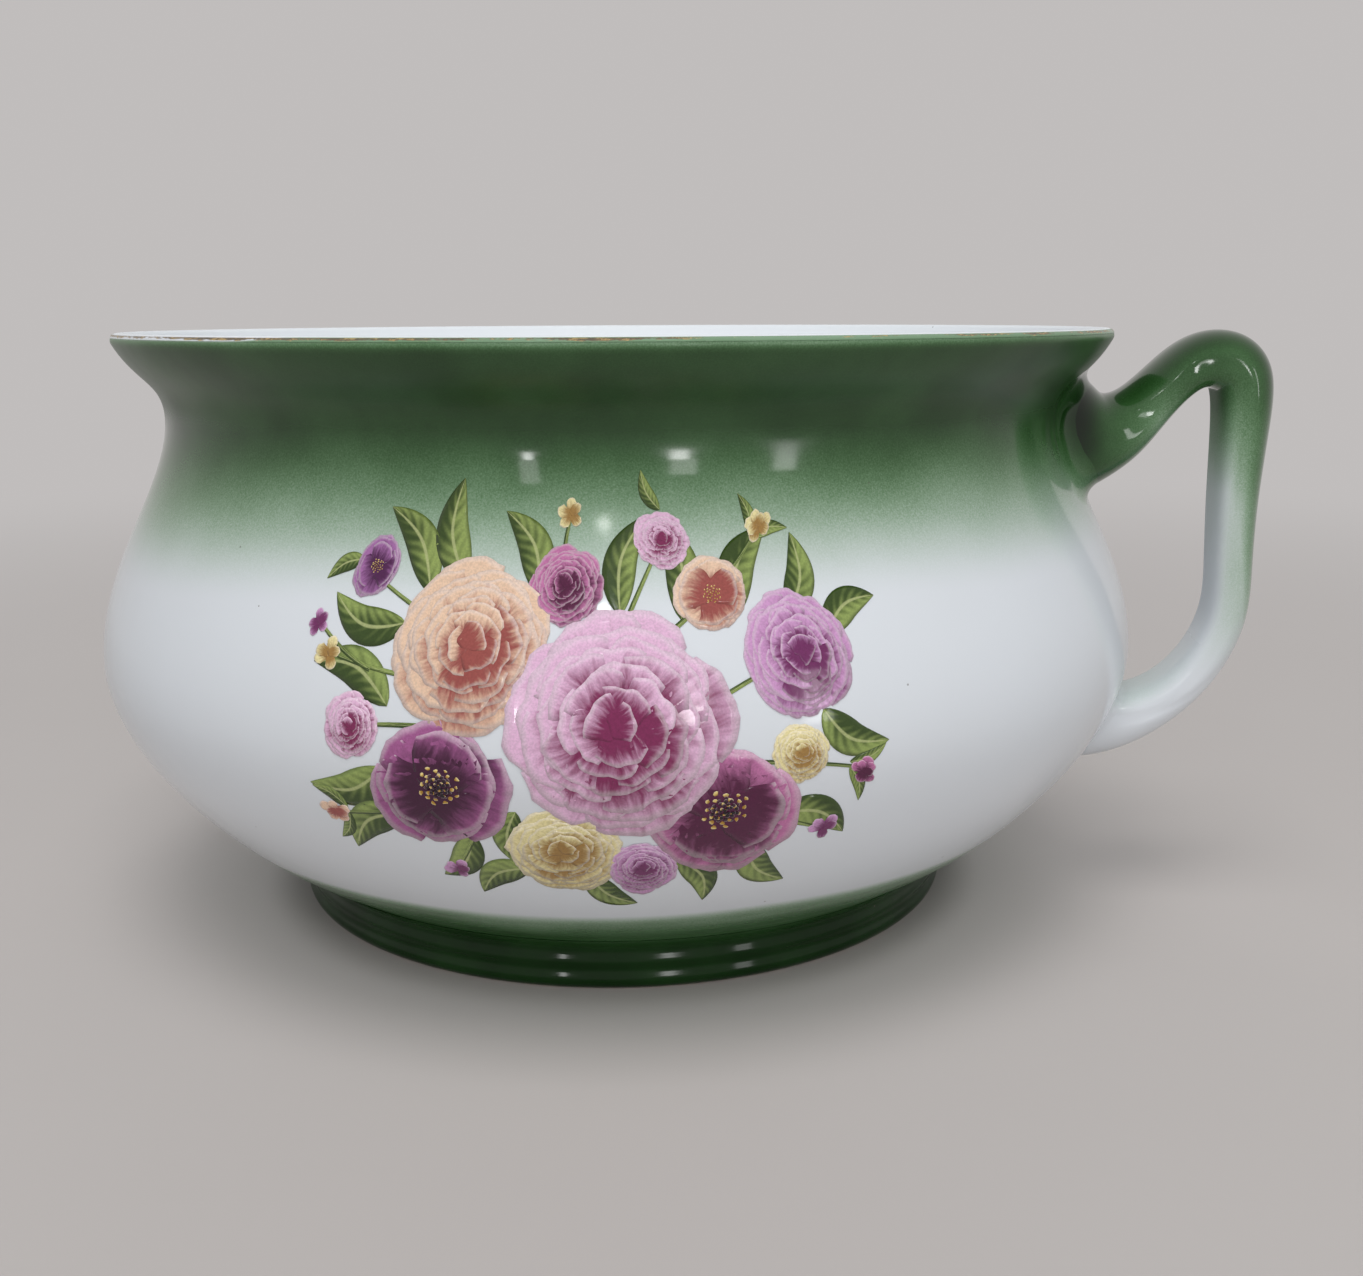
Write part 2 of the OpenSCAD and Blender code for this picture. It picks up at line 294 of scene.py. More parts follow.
# %% Sizes of the bowl
RIM_R, NECK_R, BELLY_R, SEAT_R, FLOOR_R, FOOT_TOP_R = mm(115, 105, 122, 84, 52, 66.6)
POT_H, NECK_Z, SEAT_Z, FLOOR_Z = mm(134, 115.5, 13.5, 20)
BELLY_Z = 0.463 * POT_H
WALL, LIP, BASE_DISH, SLIP = mm(5, 3.2, 1.5, 0.6)
FLARE, SEAT_RISE = math.radians(62), math.radians(26)
QUARTER = math.pi / 2

lower_h = BELLY_Z - SEAT_Z
upper_h = NECK_Z - BELLY_Z
flare_h = POT_H - NECK_Z
SEAT_PULL = 0.34 * lower_h
BELLY_PULL_DOWN = 0.38 * lower_h
BELLY_PULL_UP = 0.39 * upper_h
NECK_PULL_DOWN = 0.28 * upper_h
NECK_PULL_UP = 0.43 * flare_h
LIP_PULL = 0.51 * flare_h
FLOOR_PULL = 0.52 * (BELLY_R - WALL - FLOOR_R)
print("rim", round(2 * RIM_R / MM, 1), "mm across, height", round(POT_H / MM, 1), "mm")


# %% Pieces of a curve
def mix(share, start, stop):
    """A number on the way from start to stop."""
    return start + (stop - start) * share


def heading(angle):
    """The direction of an angle."""
    return np.array([math.cos(angle), math.sin(angle)])


def straight(a, b):
    """A straight piece, written as a cubic."""
    a, b = np.array(a), np.array(b)
    return [a, a + (b - a) / 3, b - (b - a) / 3, b]


def arc_pieces(centre, radius, start, stop, count=2):
    """A circular arc as a few cubic pieces, between angles in radians."""
    step = (stop - start) / count
    pull = 4 / 3 * math.tan(step / 4) * radius
    pieces = []
    for k in range(count):
        a, b = start + k * step, start + (k + 1) * step
        p, q = centre + radius * heading(a), centre + radius * heading(b)
        pieces.append([p, p + pull * heading(a + QUARTER), q - pull * heading(b + QUARTER), q])
    return pieces


def cubic(piece, t):
    """Points of a cubic piece at the places t, from 0 to 1."""
    t = np.asarray(t)[:, None]
    return ((1 - t) ** 3 * piece[0] + 3 * (1 - t) ** 2 * t * piece[1]
            + 3 * (1 - t) * t ** 2 * piece[2] + t ** 3 * piece[3])


quarter = arc_pieces(np.zeros(2), 1.0, 0.0, QUARTER, count=1)[0]
arc_error = np.hypot(*cubic(quarter, [0.2])[0]) - 1
print("a quarter circle as one cubic piece is off by", round(arc_error, 5), "of its radius")

# %% Curve of the bowl
WALL_STEPS = 200
up = np.array([0.0, 1.0])
lip_centre = np.array([RIM_R - LIP / 2, POT_H - LIP / 2])
lip_side = LIP / 2 * heading(FLARE - QUARTER)
flare_run = LIP_PULL * heading(FLARE)
belly, neck = np.array([BELLY_R, BELLY_Z]), np.array([NECK_R, NECK_Z])
seat, floor_edge = np.array([SEAT_R, SEAT_Z]), np.array([FLOOR_R, FLOOR_Z])
lip_out, lip_in = lip_centre + lip_side, lip_centre - lip_side
neck_in, belly_in = neck - (WALL, 0), belly - (WALL, 0)

outside_pieces = [
    [seat, seat + SEAT_PULL * heading(SEAT_RISE), belly - BELLY_PULL_DOWN * up, belly],
    [belly, belly + BELLY_PULL_UP * up, neck - NECK_PULL_DOWN * up, neck],
    [neck, neck + NECK_PULL_UP * up, lip_out - flare_run, lip_out],
]
inside_pieces = [
    [lip_in, lip_in - flare_run, neck_in + NECK_PULL_UP * up, neck_in],
    [neck_in, neck_in - NECK_PULL_DOWN * up, belly_in + BELLY_PULL_UP * up, belly_in],
    [belly_in, belly_in - BELLY_PULL_DOWN * up, floor_edge + (FLOOR_PULL, 0), floor_edge],
]
underside_points = ((0.0, SEAT_Z + BASE_DISH), (FOOT_TOP_R / 2, SEAT_Z + BASE_DISH),
                    (FOOT_TOP_R / 2, SEAT_Z), (FOOT_TOP_R, SEAT_Z))
underside_pieces = [[np.array(p) for p in underside_points], straight((FOOT_TOP_R, SEAT_Z), seat)]
lip_pieces = arc_pieces(lip_centre, LIP / 2, FLARE - QUARTER, FLARE + QUARTER)
bowl_pieces = (underside_pieces + outside_pieces + lip_pieces + inside_pieces
               + [straight(floor_edge, (0.0, FLOOR_Z))])
BASE_SHARE = len(underside_pieces) / len(bowl_pieces)
LIP_SHARE = (len(underside_pieces) + len(outside_pieces) + 1) / len(bowl_pieces)
wall_line = np.vstack([cubic(piece, np.linspace(0, 1, WALL_STEPS)) for piece in outside_pieces])


def wall_radius(z):
    """Radius of the bowl's outside at a height."""
    return np.interp(z, wall_line[:, 1], wall_line[:, 0])


belly_reach = float(wall_line[:, 0].max())
print("bowl curve:", len(bowl_pieces), "pieces, belly", round(belly_reach / MM, 2), "mm")

# %% [markdown]
# ## The potter's wheel
# Blender can turn a curve with the Spin tool or a Screw modifier. Here a Geometry Nodes tree does
# it, so that every turned piece shares one rule: a flat grid has a column for each point of the
# curve and a row for each step round, and each grid point is carried to its place. The tree also
# stores how far along the curve a point lies, which later tells the glaze the outside from the
# inside.

# %% Helpers for Geometry Nodes
def geometry_tree(name, **inputs):
    """A Geometry Nodes tree in hand, and its inputs, which are given by kind as lists of names."""
    tree = bpy.data.node_groups.new(name, "GeometryNodeTree")
    begin(tree)
    for side in ("INPUT", "OUTPUT"):
        tree.interface.new_socket("Geometry", in_out=side, socket_type="NodeSocketGeometry")
    for kind, labels in inputs.items():
        for label in labels:
            tree.interface.new_socket(label, in_out="INPUT", socket_type="NodeSocket" + kind)
    return tree, {socket.name: Wire(socket) for socket in node("NodeGroupInput").outputs}


def geo(kind, inputs=None, out=0, **settings):
    """One output of a new Geometry node."""
    return Wire(node("GeometryNode" + kind, inputs, **settings).outputs[out])


def grid(columns, rows):
    """A flat sheet of points, 1 by 1."""
    counts = {"Vertices X": columns, "Vertices Y": rows}
    return geo("MeshGrid", {"Size X": 1.0, "Size Y": 1.0, **counts})


def store(geometry, name, value, kind="FLOAT", domain="POINT"):
    """Keeps a value on the mesh for its material."""
    inputs = {"Geometry": geometry, "Name": name, "Value": value}
    return geo("StoreNamedAttribute", inputs, data_type=kind, domain=domain)


def end_tree(geometry, finish):
    """Makes instances real, gives them their material and ends the tree."""
    real = geo("RealizeInstances", {"Geometry": geometry})
    dressed = geo("SetMaterial", {"Geometry": real, "Material": finish})
    node("NodeGroupOutput", {"Geometry": dressed})


def use_tree(maker, tree, values):
    """Adds a tree to an object as a modifier and sets its named inputs by their identifiers."""
    modifier = maker.modifiers.new(tree.name, "NODES")
    modifier.node_group = tree
    for socket in tree.interface.items_tree:
        if socket.in_out == "INPUT" and socket.name in values:
            modifier[socket.identifier] = values[socket.name]


print("Geometry Nodes helpers ready")

# %% Geometry Nodes: turn a profile about the pot's axis
MERGE_DISTANCE = 1e-6
wheel, given = geometry_tree(
    "potters_wheel", Object=["Profile"], Int=["Steps round"], Material=["Finish"])
here = geo("InputPosition")
line = geo("CurveToMesh", {"Curve": geo("ObjectInfo", {"Object": given["Profile"]}, "Geometry")})
points = geo("AttributeDomainSize", {"Geometry": line}, "Point Count", component="MESH")
x, y, _ = split(here)
along = x + 0.5
turned = (y + 0.5) * (2 * math.pi)
column = calc("ROUND", along * (points - 1))
sample = geo("SampleIndex", {"Geometry": line, "Value": here, "Index": column},
             data_type="FLOAT_VECTOR", domain="POINT")
radius, _, height = split(sample)
spot = vector(radius * calc("COSINE", turned), radius * calc("SINE", turned), height)
marked = store(grid(points, given["Steps round"] + 1), "along", along)
thrown = geo("SetPosition", {"Geometry": marked, "Position": spot})
closed = geo("MergeByDistance", {"Geometry": thrown, "Distance": MERGE_DISTANCE})
end_tree(geo("SetShadeSmooth", {"Geometry": closed}), given["Finish"])
print("wheel tree:", len(wheel.nodes), "nodes")

# %% Put a profile on the wheel
SHARP = math.radians(35)
CM3 = (10 * MM) ** 3


def profile_curve(name, pieces, steps):
    """The cubic pieces as one Bezier curve in the XZ plane."""
    curve = bpy.data.curves.new(name, "CURVE")
    curve.dimensions = "3D"
    curve.resolution_u = steps
    knots = curve.splines.new("BEZIER").bezier_points
    knots.add(len(pieces))
    first, last = pieces[0][0], pieces[-1][3]
    places = [p[0] for p in pieces] + [last]
    pulls_in = [first] + [p[2] for p in pieces]
    pulls_out = [p[1] for p in pieces] + [last]
    for knot, *three in zip(knots, places, pulls_in, pulls_out):
        knot.handle_left_type = knot.handle_right_type = "FREE"
        knot.co, knot.handle_left, knot.handle_right = ((x, 0, z) for x, z in three)
    return put_in_scene(name, curve)


def plain_mesh(maker, name):
    """Turns an object with live modifiers into a plain mesh object at the origin."""
    bpy.context.view_layer.update()
    graph = bpy.context.evaluated_depsgraph_get()
    result = bpy.data.meshes.new_from_object(maker.evaluated_get(graph))
    result.name = name
    bpy.data.objects.remove(maker)
    return put_in_scene(name, result)


def face_outwards(piece):
    """Turns the faces of a closed piece outwards, so that its signed volume is positive."""
    shape = bmesh.new()
    shape.from_mesh(piece.data)
    volume = shape.calc_volume(signed=True)
    shape.free()
    if volume < 0:
        piece.data.flip_normals()
    print(piece.name, len(piece.data.polygons), "faces,", round(abs(volume) / CM3, 2), "cm3")


def throw(name, pieces, finish, steps=16, around=256):
    """Turns a profile into a finished piece."""
    profile = profile_curve(name + "_profile", pieces, steps)
    blank = put_in_scene(name + "_blank", bpy.data.meshes.new(name + "_blank"))
    use_tree(blank, wheel, {"Profile": profile, "Steps round": around, "Finish": finish})
    piece = plain_mesh(blank, name)
    bpy.data.objects.remove(profile)
    face_outwards(piece)
    piece.data.set_sharp_from_angle(angle=SHARP)
    return piece


print("wheel ready, edges over", round(math.degrees(SHARP)), "degrees stay sharp")

# %% [markdown]
# ## The glaze
# All of the pot lies under one clear, glossy lead glaze, so all glazes share a shader: a colour, a
# smooth shine with faint unevenness, a very slight ripple, and the rare dark speck that iron in the
# clay leaves. What differs is the colour below it. The green was sprayed on, so its edge is a fine
# mist of dots that thins out, which a noise at the size of the dots breaks up.

# %% Colours under the glaze
GLAZE_WHITE = (0.735, 0.77, 0.815, 1)
GLAZE_SHADE = (0.69, 0.715, 0.745, 1)
# white of the inside, painted lighter than the outside's white: painted light for the bright far
# inside wall
INSIDE_WHITE_WITH_PAINTED_LIGHT = (0.82, 0.85, 0.88, 1)
GREEN_COAT = (0.0247, 0.082, 0.0183)
COAT_PATCHES = (0.25, 0.75, 0.9, 1.12)
GRAIN = 0.55
NO_GRAIN = 1.2
# noises: patches in a metre, detail
CLOUDS = (16.0, 2.0)
PATCHES = (55.0, 3.0)
SPRAY_DOTS = (3200.0, 1.0)


def attribute(name, output="Fac"):
    """A value that is stored on the mesh."""
    return shade("Attribute", out=output, attribute_name=name)


def sprayed(place, coats):
    """Breaks a soft coat of colour into the dots of a spray, most where the coat is thin."""
    thin = coats * calc("SUBTRACT", NO_GRAIN, coats, True)
    shift = (noise(place, *SPRAY_DOTS) - 0.5) * (thin * (2 * GRAIN))
    return calc("MAXIMUM", coats + shift, 0.0)


def green_over_white(place, coats):
    """White seen through coats of green. One coat leaves the shares of light in GREEN_COAT, and
    a thin coat leaves more of each, so thin green stays clear and bright, as in a real glaze."""
    depth = coats * smooth_rise(noise(place, *PATCHES), *COAT_PATCHES)
    through = shade("CombineColor", {k: share ** depth for k, share in enumerate(GREEN_COAT)})
    white = blend_colour(noise(place, *CLOUDS), GLAZE_SHADE, GLAZE_WHITE)
    return blend_colour(1.0, white, through, "MULTIPLY")


print("one coat lets through", GREEN_COAT)

# %% Shared glaze shader
SPECK_TONE = (0.10, 0.085, 0.07, 1)
SPECK_SIZE = 0.032
SPECK_RARITY = 0.72
SPECK_STRENGTH = 0.55
GLAZE_IOR = 1.5
GLAZE_ROUGHNESS = 0.07
DULL_RANGE = (0.3, 0.8)
DULLER = 0.06
RIPPLE_BUMP = {"Strength": 0.12, "Distance": 0.6 * MM}
SPECKS = 120.0  # cells in a metre
# noises: patches in a metre, detail
DULL_PATCHES = (70.0, 3.0)
WAVES = (45.0, 1.0)


def with_specks(place, colour):
    """Adds the rare dark speck, less than half a millimetre wide."""
    cells = node("ShaderNodeTexVoronoi", {"Vector": place, "Scale": SPECKS}).outputs
    near = Wire(cells["Distance"]) < SPECK_SIZE
    chosen = shade("SeparateColor", {0: Wire(cells["Color"])}) > SPECK_RARITY
    return blend_colour(near * chosen * SPECK_STRENGTH, colour, SPECK_TONE)


def uneven(place, roughness):
    """A roughness with faint duller patches."""
    patches = noise(place, *DULL_PATCHES)
    return smooth_rise(patches, *DULL_RANGE, roughness, roughness + DULLER)


def glossy(colour, roughness, more=None):
    """Ends the material in hand with a glassy surface."""
    inputs = {"Base Color": colour, "Roughness": roughness, "IOR": GLAZE_IOR, **(more or {})}
    node("ShaderNodeOutputMaterial", {"Surface": shade("BsdfPrincipled", inputs)})


def glaze(name, paint, roughness=GLAZE_ROUGHNESS, dull=None, shine=0.5):
    """A glossy glaze over the colour that paint(place) returns; dull(place) adds roughness."""
    finish, place = new_material(name)
    colour = with_specks(place, paint(place))
    rough = uneven(place, roughness)
    if dull:
        rough = rough + dull(place)
    bump = shade("Bump", {**RIPPLE_BUMP, "Height": noise(place, *WAVES)})
    glossy(colour, rough, {"Normal": bump, "Specular IOR Level": shine})
    return finish


print("glaze ready, roughness from", GLAZE_ROUGHNESS)

# %% [markdown]
# ## The bowl
# The bowl is white inside, in a lighter white than outside, which is painted light on the far
# inside wall. Outside, the green is full below the lip and has thinned to nothing at the top of the
# belly. On the round of the lip it is worn thin. It comes up again as a narrow band above the foot,
# a little denser on the left, and thin enough there to be light: partly the spray's own edge, partly
# painted light from the floor below. The height of a point gives all three, and a slow noise makes
# the spray's edge drift.

# %% Bowl
SPRAY_TOP, SPRAY_END = mm(117.3, 86.6)
SPRAY_THINNING = 1.9
FOOT_BAND = mm(14.5, 21.5, 25.8)
# thin enough to stay light: partly the spray's edge, partly painted light from the floor below
FOOT_BAND_COATS_AND_FLOOR_LIGHT = (0.26, 0.43)
DRIFT = 5.0 * MM
DRIFT_PATCHES = 18.0
FOOT_DRIFT = 0.2
LIP_COATS = 0.34
LIP_SOFT = 0.5 * MM
HAZE = 0.24
# between these heights
LIP_WORN = mm(130.8, 133.7)
LIP_EDGE = mm(133.2, 134.4)
HAZY_FLARE = mm(112, 120)
HAZY_FOOT = mm(16, 24)
# between these places from left to right, and how much
LIP_LEFT = mm(-50, -24)
SPRAY_DROP = mm(-105, -15, 3.8, 0)
BAND_LIFT = mm(20, 60, 0, 1.2)
DENSER = (*mm(-22, 8), 1.25, 1.0)


def lip_coats(x, z):
    """The share of green that is left on the round of the lip; on the left its white top shows."""
    thin = smooth_rise(z, *LIP_WORN, 1.0, LIP_COATS)
    edge = smooth_rise(x, *LIP_LEFT, *LIP_EDGE)
    return thin * smooth_rise(edge - z, 0.0, LIP_SOFT)


def denser_left(x):
    """The green at the foot was sprayed more thickly on the left."""
    return smooth_rise(x, *DENSER)


def bowl_paint(place):
    """White inside, in a lighter white that is painted light on the far inside wall; outside, green
    at the neck and above the foot.
    """
    x, _, z = split(place)
    drift = (noise(place, DRIFT_PATCHES) - 0.5) * DRIFT
    high = z + (drift + smooth_rise(x, *SPRAY_DROP))
    rise = shade("MapRange", {"Value": high, "From Min": SPRAY_END, "From Max": SPRAY_TOP})
    neck_coats = rise ** SPRAY_THINNING * lip_coats(x, z)
    low = z + drift * FOOT_DRIFT - smooth_rise(x, *BAND_LIFT)
    full, thin, end = FOOT_BAND
    more, some = FOOT_BAND_COATS_AND_FLOOR_LIGHT
    band = smooth_rise(low, thin, end, some, 0.0) + smooth_rise(low, full, thin, more, 0.0)
    foot_coats = denser_left(x) * band
    way = attribute("along")
    outside = way < LIP_SHARE
    coats = calc("MAXIMUM", neck_coats, foot_coats) * (outside * (way > BASE_SHARE))
    return blend_colour(outside, INSIDE_WHITE_WITH_PAINTED_LIGHT, green_over_white(place, sprayed(place, coats)))


def hazy_ends(place):
    """The flare and the edge above the foot have lost some of their shine to wear and washing."""
    z = split(place)[2]
    return smooth_rise(z, *HAZY_FLARE, 0.0, HAZE) + smooth_rise(z, *HAZY_FOOT, HAZE, 0.0)


bowl_finish = glaze("shaded_glaze_finish", bowl_paint, dull=hazy_ends)
bowl = throw("bowl_glazed", bowl_pieces, bowl_finish, steps=20)

# %% [markdown]
# ## The foot
# The foot is turned from a ring of clay: a round lower edge, two crests and a hollow that leads up
# to the bowl. Thick glaze has filled the groove between the crests, so only a soft ripple is left.
# The flat edge that it stands on was wiped clean before firing and shows the clay.

# %% Curve of the foot
FOOT_R, FOOT_INNER_R, FOOT_ROUND = mm(80, 69.6, 2.4)
# radius and height of each crest and hollow of the ripple
RIPPLE = [mm(80, 2.4), mm(79.5, 4.6), mm(79.95, 6.4), mm(79.45, 8.6)]
COVE_LOW_PULL, COVE_HIGH_PULL = mm(1.6, 2.6)
FOOT_TOP_Z = SEAT_Z - SLIP

ripple = [np.array(p) for p in RIPPLE]
ripple_pieces = []
for p, q in zip(ripple, ripple[1:]):
    third = (q - p)[1] / 3 * up
    ripple_pieces.append([p, p + third, q - third, q])
seat_edge = np.array([SEAT_R, FOOT_TOP_Z])
cove = [ripple[-1], ripple[-1] + COVE_LOW_PULL * up,
        seat_edge - COVE_HIGH_PULL * heading(SEAT_RISE), seat_edge]
foot_pieces = (
    [straight((FOOT_INNER_R, 0.0), (FOOT_R - FOOT_ROUND, 0.0))]
    + arc_pieces(np.array([FOOT_R - FOOT_ROUND, FOOT_ROUND]), FOOT_ROUND, -QUARTER, 0.0)
    + ripple_pieces
    + [cove, straight(seat_edge, (FOOT_TOP_R, FOOT_TOP_Z)),
       straight((FOOT_TOP_R, FOOT_TOP_Z), (FOOT_INNER_R, 0.0))]
)
OUTER_SHARE = (len(foot_pieces) - 1) / len(foot_pieces)
print("foot curve:", len(foot_pieces), "pieces")

# %% Foot ring
FOOT_COATS = 1.3
# the thinner green at the top is partly real and partly a painted reflection of the floor
FOOT_TOP_COATS_AND_FLOOR_SHEEN = 0.72
FOOT_ROUGHNESS = 0.08
FOOT_SHINE = 0.22
COVE_HAZE = 0.25
CLAY_TONES = ((0.30, 0.22, 0.15, 1), (0.60, 0.52, 0.42, 1))
CLAY_GRAIN = (240.0, 4.0)  # grains in a metre, detail
WIPE_WAVES = 160.0
WIPE_WAVER = 0.5 * MM
# between these heights
WIPED = mm(0.45, 0.75)
COATS_THIN = mm(8, 13)
COVE_DULLS = mm(8, 11)


def foot_paint(place):
    """Green that thins towards the bowl, partly real and partly a painted reflection of the floor,
    and bare clay below.
    """
    x, _, z = split(place)
    outer = attribute("along") < OUTER_SHARE
    coats = smooth_rise(z, *COATS_THIN, FOOT_COATS, denser_left(x) * FOOT_TOP_COATS_AND_FLOOR_SHEEN)
    colour = green_over_white(place, outer * coats)
    bare = smooth_rise(z + noise(place, WIPE_WAVES) * WIPE_WAVER, *WIPED, 1.0, 0.0)
    return blend_colour(bare, colour, blend_colour(noise(place, *CLAY_GRAIN), *CLAY_TONES))


def hazy_cove(place):
    """The glaze is dull where the foot leads up to the bowl."""
    return smooth_rise(split(place)[2], *COVE_DULLS, 0.0, COVE_HAZE)


foot_finish = glaze("foot_glaze_finish", foot_paint, FOOT_ROUGHNESS, hazy_cove, FOOT_SHINE)
foot_ring = throw("foot_ring_glazed", foot_pieces, foot_finish, steps=14)

# %% Fillet of slip between foot and bowl
FILLET_SINK, FILLET_PULL, FILLET_DEPTH = mm(0.04, 1.1, 1.5)
FILLET_ENDS = (0.8, 0.045)
FILLET_ROUGHNESS = 0.30
# about as thin as the foot's top, so as light as it, which is partly a painted reflection of the
# floor
FILLET_COATS = (0.2, 0.8, 0.62, 0.72)
FILLET_PATCHES = 30.0
fillet_in = FILLET_SINK * heading(SEAT_RISE + QUARTER)
fillet_low = cubic(cove, FILLET_ENDS[:1])[0] + fillet_in
fillet_high = cubic(outside_pieces[0], FILLET_ENDS[1:])[0] + fillet_in
fillet_root = np.array([SEAT_R - FILLET_DEPTH, SEAT_Z - SLIP / 2])
fillet_run = FILLET_PULL * heading(SEAT_RISE)
foot_slip_pieces = [
    [fillet_low, fillet_low + fillet_run, fillet_high - fillet_run, fillet_high],
    straight(fillet_high, fillet_root),
    straight(fillet_root, fillet_low),
]


def foot_slip_paint(place):
    """Green about as thin as at the top of the foot, in soft patches."""
    coats = smooth_rise(noise(place, FILLET_PATCHES), *FILLET_COATS)
    return green_over_white(place, coats * denser_left(split(place)[0]))


foot_slip_finish = glaze("foot_slip_finish", foot_slip_paint, FILLET_ROUGHNESS, shine=FOOT_SHINE)
foot_slip = throw("foot_slip_glazed", foot_slip_pieces, foot_slip_finish)

# %% [markdown]
# ## The gilt line
# A brush line of gold ran round the top edge of the lip. Most of it has rubbed away, so the glaze
# shows through, and what is left is a thin brown line with a little gold. The line is a thin turned
# ring on the lip. A noise that is stretched along it decides where the metal is still there.

# %% Gilt line
GILT = 0.12 * MM
GILT_FROM, GILT_TO = math.radians(22), math.radians(50)
GILT_TONES = ((0.20, 0.165, 0.125, 1), (0.62, 0.45, 0.20, 1))
GILT_METAL = 0.6
GOLD_FLECKS = (0.45, 0.7)
GILT_SHARE = (0.74, 0.84)
GILT_ROUGHNESS = (0.3, 0.7, 0.12, 0.32)
# patches in a metre, detail, roughness
RUB_PATCHES = (26.0, 3.0, 0.6)
FLECKS = (420.0, 3.0, 0.7)
FLECK_WEIGHT = 0.45
FLECK_STRETCH = (1, 1, 5)
# how much more or less gold is left, by height and from left to right
GOLD_BY_HEIGHT = (*mm(132.9, 133.6), -0.10, 0.12)
GOLD_TO_RIGHT = (*mm(-20, 60), 0.06, -0.10)
GOLD_TO_LEFT = (*mm(-70, -30), -0.10, 0.0)
gilt_out = arc_pieces(lip_centre, LIP / 2 + GILT, GILT_FROM, GILT_TO)
gilt_in = arc_pieces(lip_centre, LIP / 2 - GILT / 2, GILT_TO, GILT_FROM)
gilt_pieces = (gilt_out + [straight(gilt_out[-1][3], gilt_in[0][0])]
               + gilt_in + [straight(gilt_in[-1][3], gilt_out[0][0])])


def worn_gilt():
    """Gold where it is left, and thin green where it has gone."""
    finish, place = new_material("worn_gilt_finish")
    x, _, z = split(place)
    stretched = shade("Mapping", {"Vector": place, "Scale": FLECK_STRETCH})
    flecks = noise(stretched, *FLECKS)
    kept = noise(place, *RUB_PATCHES) + flecks * FLECK_WEIGHT + smooth_rise(z, *GOLD_BY_HEIGHT)
    kept = kept + smooth_rise(x, *GOLD_TO_RIGHT) + smooth_rise(x, *GOLD_TO_LEFT)
    gold = smooth_rise(kept, *GILT_SHARE)
    metal = blend_colour(smooth_rise(flecks, *GOLD_FLECKS), *GILT_TONES)
    bare = green_over_white(place, lip_coats(x, z))
    rough = smooth_rise(flecks, *GILT_ROUGHNESS)
    glossy(blend_colour(gold, bare, metal), rough, {"Metallic": gold * GILT_METAL})
    return finish


rim_gilding = throw("rim_gilding_worn", gilt_pieces, worn_gilt(), steps=6, around=360)

# %% [markdown]
# ## The handle
# The handle was pressed in a mould: a strap that leaves the neck as a trumpet, climbs to a crown,
# drops as a straight grip and turns in at the heel. A cubic B-spline led by a few stations gives
# the centre line, and a rounded section is carried along it. The crown swells a little, and a faint
# crease slants over the heel. Each line of the sweep stops just inside the wall, so nothing comes
# through to the inside.

# %% Centre line of the handle
TOP_JOINT_Z = NECK_Z - 5.0 * MM
LOW_JOINT_Z = 0.31 * POT_H
HANDLE_OUT, GRIP_LEAN, ROOT_SINK, CROWN_BELOW_RIM = mm(28, 1.5, 10, 1)
# thickness (T), width (W), and both at the two mouths
GRIP_T, STEM_T, SHOULDER_T, CROWN_T = mm(9.5, 11, 13, 13)
GRIP_W, CROWN_W, THROAT_SWELL = mm(20, 25, 4)
TOP_MOUTH, LOW_MOUTH = mm(32, 46), mm(17, 23)
top_r = float(wall_radius(TOP_JOINT_Z))
low_r = float(wall_radius(LOW_JOINT_Z))
grip_x = BELLY_R + HANDLE_OUT - GRIP_T / 2
crown_z = POT_H - CROWN_BELOW_RIM - CROWN_T / 2
stem_run, stem_rise = grip_x - top_r, crown_z - TOP_JOINT_Z
grip_drop, heel_run = crown_z - LOW_JOINT_Z, grip_x - low_r

# each station: place along X, height, thickness, width
stations = [(top_r - k * ROOT_SINK, TOP_JOINT_Z, *TOP_MOUTH) for k in (2, 1, 0)]
for run, rise, thickness, width in (
        (0.28, 0.00, STEM_T + THROAT_SWELL, CROWN_W + THROAT_SWELL),
        (0.47, 0.50, STEM_T, CROWN_W - 1 * MM),
        (0.66, 1.02, STEM_T, CROWN_W),
        (0.84, 1.06, CROWN_T + 1 * MM, CROWN_W),
        (0.98, 0.86, SHOULDER_T, CROWN_W)):
    stations.append((top_r + run * stem_run, TOP_JOINT_Z + rise * stem_rise, thickness, width))
for drop, lean, thickness, narrowing in (
        (0.19, 0.7, (GRIP_T + SHOULDER_T) / 2, 0.20),
        (0.38, 1.1, GRIP_T + 0.5 * MM, 0.55),
        (0.54, 0.9, GRIP_T, 0.80),
        (0.70, 0.6, GRIP_T, 1.00)):
    stations.append((grip_x - lean * GRIP_LEAN, crown_z - drop * grip_drop, thickness,
                     mix(narrowing, CROWN_W, GRIP_W)))
for run, drop, thickness, width in (
        (0.72, 0.13, GRIP_T, GRIP_W),
        (0.36, 0.03, GRIP_T + 2 * MM, GRIP_W + 1 * MM)):
    stations.append((low_r + run * heel_run, LOW_JOINT_Z + drop * grip_drop, thickness, width))
stations += [(low_r - k * ROOT_SINK, LOW_JOINT_Z, *LOW_MOUTH) for k in (0, 1, 2)]
stations = np.array(stations)
SPANS = len(stations) - 3


def spline(u):
    """Centre and section of the strap at u spans from its start."""
    u = np.clip(u, 0, SPANS)
    i = np.minimum(np.floor(u).astype(int), SPANS - 1)
    t = (u - i)[..., None]
    return ((1 - t) ** 3 * stations[i] + (3 * t ** 3 - 6 * t ** 2 + 4) * stations[i + 1]
            + (-3 * t ** 3 + 3 * t ** 2 + 3 * t + 1) * stations[i + 2]
            + t ** 3 * stations[i + 3]) / 6


